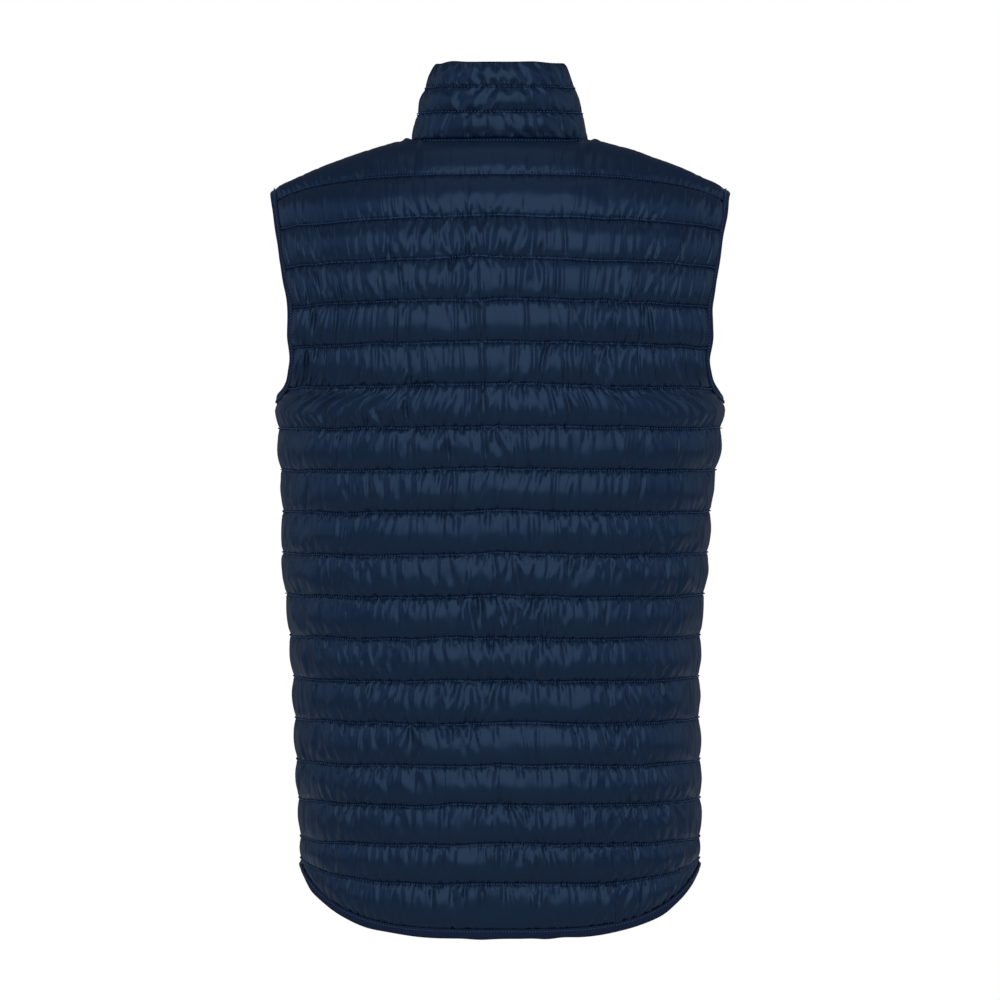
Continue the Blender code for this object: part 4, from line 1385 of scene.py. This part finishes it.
def quilted_nylon():
    """Satin nylon: puckered beside the stitched lines, finely creased between them, with painted shade that
    darkens its colour in the seams.
    """
    nylon = Finish("quilted_nylon_satin", NYLON_COLOUR, roughness=0.31, Specular_IOR_Level=0.32,
                   Specular_Tint=SPECULAR_TINT)
    across, row = nylon.cloth_map()
    halfway = nylon.math("FRACT", nylon.math("ADD", row, 0.5))
    from_line = nylon.math("ABSOLUTE", nylon.math("SUBTRACT", halfway, 0.5))
    below = nylon.smooth_range(nylon.math("FRACT", row), low=0.21, high=0.05)
    above = nylon.smooth_range(from_line, low=0.12, high=0.03)
    closeness = nylon.math("MAXIMUM", below, nylon.times(above, ABOVE_LINE_SHARE))
    puckers = nylon.cloth_noise(across, row, PUCKER_SCALES)
    nicks = nylon.smooth_range(puckers, low=0.34, high=0.46, start=-0.8, end=-0.25)
    puckers = nylon.times(nylon.math("ADD", puckers, nicks), closeness)
    creases = nylon.cloth_noise(across, row, CREASE_SCALES)
    bends = nylon.math("SUBTRACT", nylon.cloth_noise(across, row, BEND_SCALES, detail=0.0), 0.5)
    bends = nylon.smooth_range(nylon.math("ABSOLUTE", bends), low=0.0, high=0.06)
    relief = nylon.plus(puckers, share=1.0, rest=nylon.times(creases, CREASE_SHARE))
    relief = nylon.plus(bends, share=0.12, rest=relief)
    relief = nylon.plus(nylon.object_noise(scale=2600.0, detail=1.0), share=0.010, rest=relief)
    nylon.bump(relief, depth=0.0011)
    # Painted shade: the colour darkens towards a deeper blue in the grooves of the stitched lines, where
    # shade falls, on top of a random tone
    groove_shade = nylon.smooth_range(from_line, low=0.060, high=0.018)
    tone_and_groove_shade = nylon.plus(nylon.object_noise(scale=9.0), share=0.25, rest=0.87)
    tone_and_groove_shade = nylon.times(tone_and_groove_shade, nylon.smooth_range(groove_shade, low=0.0, high=1.0, start=1.0, end=0.10))
    nylon.shade(tone_and_groove_shade, dark=GROOVE_SHADE_SHARES, light=1.0)
    return nylon.material


def elastic():
    """Knitted elastic with fine ribs along it."""
    knit = Finish("elastic_knit", ELASTIC_COLOUR, roughness=0.75, Specular_IOR_Level=0.14)
    along, around = knit.cloth_map()
    ribs, loops = knit.ripple(around, ELASTIC_RIBS), knit.ripple(along, 1 / LOOP_LENGTH)
    knit.bump(knit.plus(loops, share=0.35, rest=ribs), depth=0.00006)
    knit.shade(knit.object_noise(scale=160.0, detail=3.0), dark=0.75, light=1.25)
    return knit.material


def woven_tape():
    tape = Finish("zip_tape_weave", TAPE_COLOUR, roughness=0.8, Specular_IOR_Level=0.25)
    along, around = tape.cloth_map()
    ribs, yarns = tape.ripple(along, 1 / RIB_LENGTH), tape.ripple(around, TAPE_YARNS)
    tape.bump(tape.times(ribs, yarns), depth=0.00007)
    tape.shade(tape.object_noise(scale=220.0, detail=3.0), dark=0.75, light=1.25)
    return tape.material


def thread():
    yarn = Finish("stitch_thread", THREAD_COLOUR, roughness=0.6, Specular_IOR_Level=0.2)
    yarn.bump(yarn.object_noise(scale=2400.0, detail=1.0), depth=0.00008)
    yarn.shade(yarn.object_noise(scale=40.0), dark=0.8, light=1.2)
    return yarn.material


def moulded(name, colour, roughness, metallic):
    """Moulded plastic or enamelled metal, with a slight grain and dulled patches."""
    finish = Finish(name, colour, roughness, Metallic=metallic)
    finish.bump(finish.object_noise(scale=900.0), depth=0.00003)
    finish.shade(finish.object_noise(scale=120.0), dark=0.85, light=1.15)
    dulled = finish.smooth_range(finish.object_noise(scale=300.0), low=0.3, high=0.7,
                                 start=roughness - 0.06, end=roughness + 0.08)
    finish.tree.links.new(dulled, finish.shader.inputs["Roughness"])
    return finish.material


# Lights and camera

CAMERA_DISTANCE = 4.0
CAMERA_HEIGHT = -0.324
LENS = 160
SENSOR_WIDTH = 36
WHITE = (1.0, 1.0, 1.0, 1.0)
SKY_COLOUR = (0.9, 0.95, 1.0, 1.0)
SKY_STRENGTH = 0.07
LIGHT_COLOUR = (0.90, 0.96, 1.0)
SIDE_LIGHT_COLOUR = (0.62, 0.79, 1.0)
MIDDLE = (0, 0, -0.32)
OVERHEAD = (0, 1.0, 0)

# Soft boxes. A box lights the pieces whose names start with the words under lights, but none of those
# under spares. A matt one gives no reflections.
BOX_COLUMNS = ("name", "place", "aim", "size", "power", "colour", "lights", "spares", "matt")
BOXES = (
    ("key", (0, 3.9, 1.35), MIDDLE, (4.8, 4.6), 146, LIGHT_COLOUR, "", (), False),
    ("top", (0, 0.8, 3.8), MIDDLE, (3.0, 3.0), 10, LIGHT_COLOUR, "", (), False),
    ("below", (0, 1.0, -1.5), OVERHEAD, (8.0, 8.0), 80, LIGHT_COLOUR, "", ("collar_",), False),
    ("below_collar", (0, 1.0, -1.5), OVERHEAD, (8.0, 8.0), 45, LIGHT_COLOUR, "collar_", (), False),
    ("front", (0, -3.9, 1.65), MIDDLE, (4.8, 5.4), 150, LIGHT_COLOUR, "", ("back_", "collar_"), False),
    ("front_matt", (0, -3.9, 1.65), MIDDLE, (4.8, 5.4), 95, LIGHT_COLOUR, "collar_", (), True),
    ("side_left", (3.2, 0.6, 0.8), MIDDLE, (4.0, 3.2), 34, SIDE_LIGHT_COLOUR, "", (), False),
    ("rim_left", (2.6, -2.4, 0.1), MIDDLE, (3.0, 3.4), 4, SIDE_LIGHT_COLOUR, "", (), False),
    ("side_right", (-3.2, 0.6, 0.8), MIDDLE, (4.0, 3.2), 34, SIDE_LIGHT_COLOUR, "", (), False),
    ("rim_right", (-2.6, -2.4, 0.1), MIDDLE, (3.0, 3.4), 4, SIDE_LIGHT_COLOUR, "", (), False),
)


def add_box(box, pieces):
    lamp = bpy.data.lights.new(box["name"], "AREA")
    lamp.color = box["colour"]
    lamp.shape = "RECTANGLE"
    lamp.size, lamp.size_y = box["size"]
    lamp.energy = box["power"]
    item = bpy.data.objects.new(box["name"], lamp)
    bpy.context.scene.collection.objects.link(item)
    item.location = box["place"]
    item.rotation_euler = (Vector(box["aim"]) - Vector(box["place"])).to_track_quat("-Z", "Y").to_euler()
    item.visible_camera = False
    item.visible_glossy = not box["matt"]
    if box["lights"] or box["spares"]:
        lit = bpy.data.collections.new(box["name"] + "_lit")
        for piece in pieces:
            if piece.name.startswith(box["lights"]) and not piece.name.startswith(box["spares"]):
                lit.objects.link(piece)
        item.light_linking.receiver_collection = lit


def add_world():
    """White for the camera, and a weak fill for everything else."""
    world = bpy.data.worlds.new("studio")
    world.use_nodes = True
    tree = world.node_tree
    fill = tree.nodes["Background"]
    fill.inputs["Color"].default_value = SKY_COLOUR
    fill.inputs["Strength"].default_value = SKY_STRENGTH
    white = add_node(tree, "Background", {"Color": WHITE, "Strength": 1.0})
    seen = add_node(tree, "LightPath", {}).outputs["Is Camera Ray"]
    mix = add_node(tree, "MixShader", {0: seen, 1: fill.outputs[0], 2: white.outputs[0]})
    tree.links.new(mix.outputs[0], tree.nodes["World Output"].inputs["Surface"])
    bpy.context.scene.world = world
    bpy.context.scene.view_settings.view_transform = "Standard"


def add_camera():
    data = bpy.data.cameras.new("camera")
    data.lens = LENS
    data.sensor_width = SENSOR_WIDTH
    camera = bpy.data.objects.new("camera", data)
    bpy.context.scene.collection.objects.link(camera)
    camera.location = (0, CAMERA_DISTANCE, CAMERA_HEIGHT)
    camera.rotation_euler = (math.pi / 2, 0, math.pi)
    bpy.context.scene.camera = camera


def dress_node(name, material):
    """Gives a carried-over solid its finish."""
    solid = bpy.data.objects[name]
    for slot in solid.material_slots:
        slot.material = material


def main():
    add_camera()
    nylon, knit, threads = quilted_nylon(), elastic(), thread()
    layers = [("back", "back_panel", Panel(BACK, 1, SEEDS["back"]))]
    layers += [("front_" + name, "front_panel_" + name, Panel(FRONT, mirror, SEEDS["fronts"] + mirror))
               for name, mirror in SIDES]
    layers.append(("collar", "collar", Collar(SEEDS["collar"])))
    for name, node, layer in layers:
        quilted_piece(name + "_quilting", node, layer, nylon)
    for name, _, layer in layers:
        quilting_threads(name + "_stitches", layer, threads)
    for name, mirror in SIDES:
        seed = SEEDS["armholes"] + mirror
        bound_edge("armhole", "_" + name, armhole_path(mirror), True, seed, knit, threads)
    bound_edge("hem", "", hem_path(), False, SEEDS["hem"], knit, threads)
    path = zip_path()
    zip_tapes(path, woven_tape(), threads)
    plastic = moulded("zip_plastic", TEETH_COLOUR, roughness=0.38, metallic=0.0)
    zip_teeth(path, plastic)
    dress_node("zip_box", plastic)
    metal = moulded("zip_enamel", METAL_COLOUR, roughness=0.35, metallic=0.6)
    dress_node("zip_slider", metal)
    dress_node("zip_pull", metal)
    pieces = [item for item in bpy.data.objects if item.type == "MESH"]
    for box in BOXES:
        add_box(dict(zip(BOX_COLUMNS, box)), pieces)
    add_world()


main()
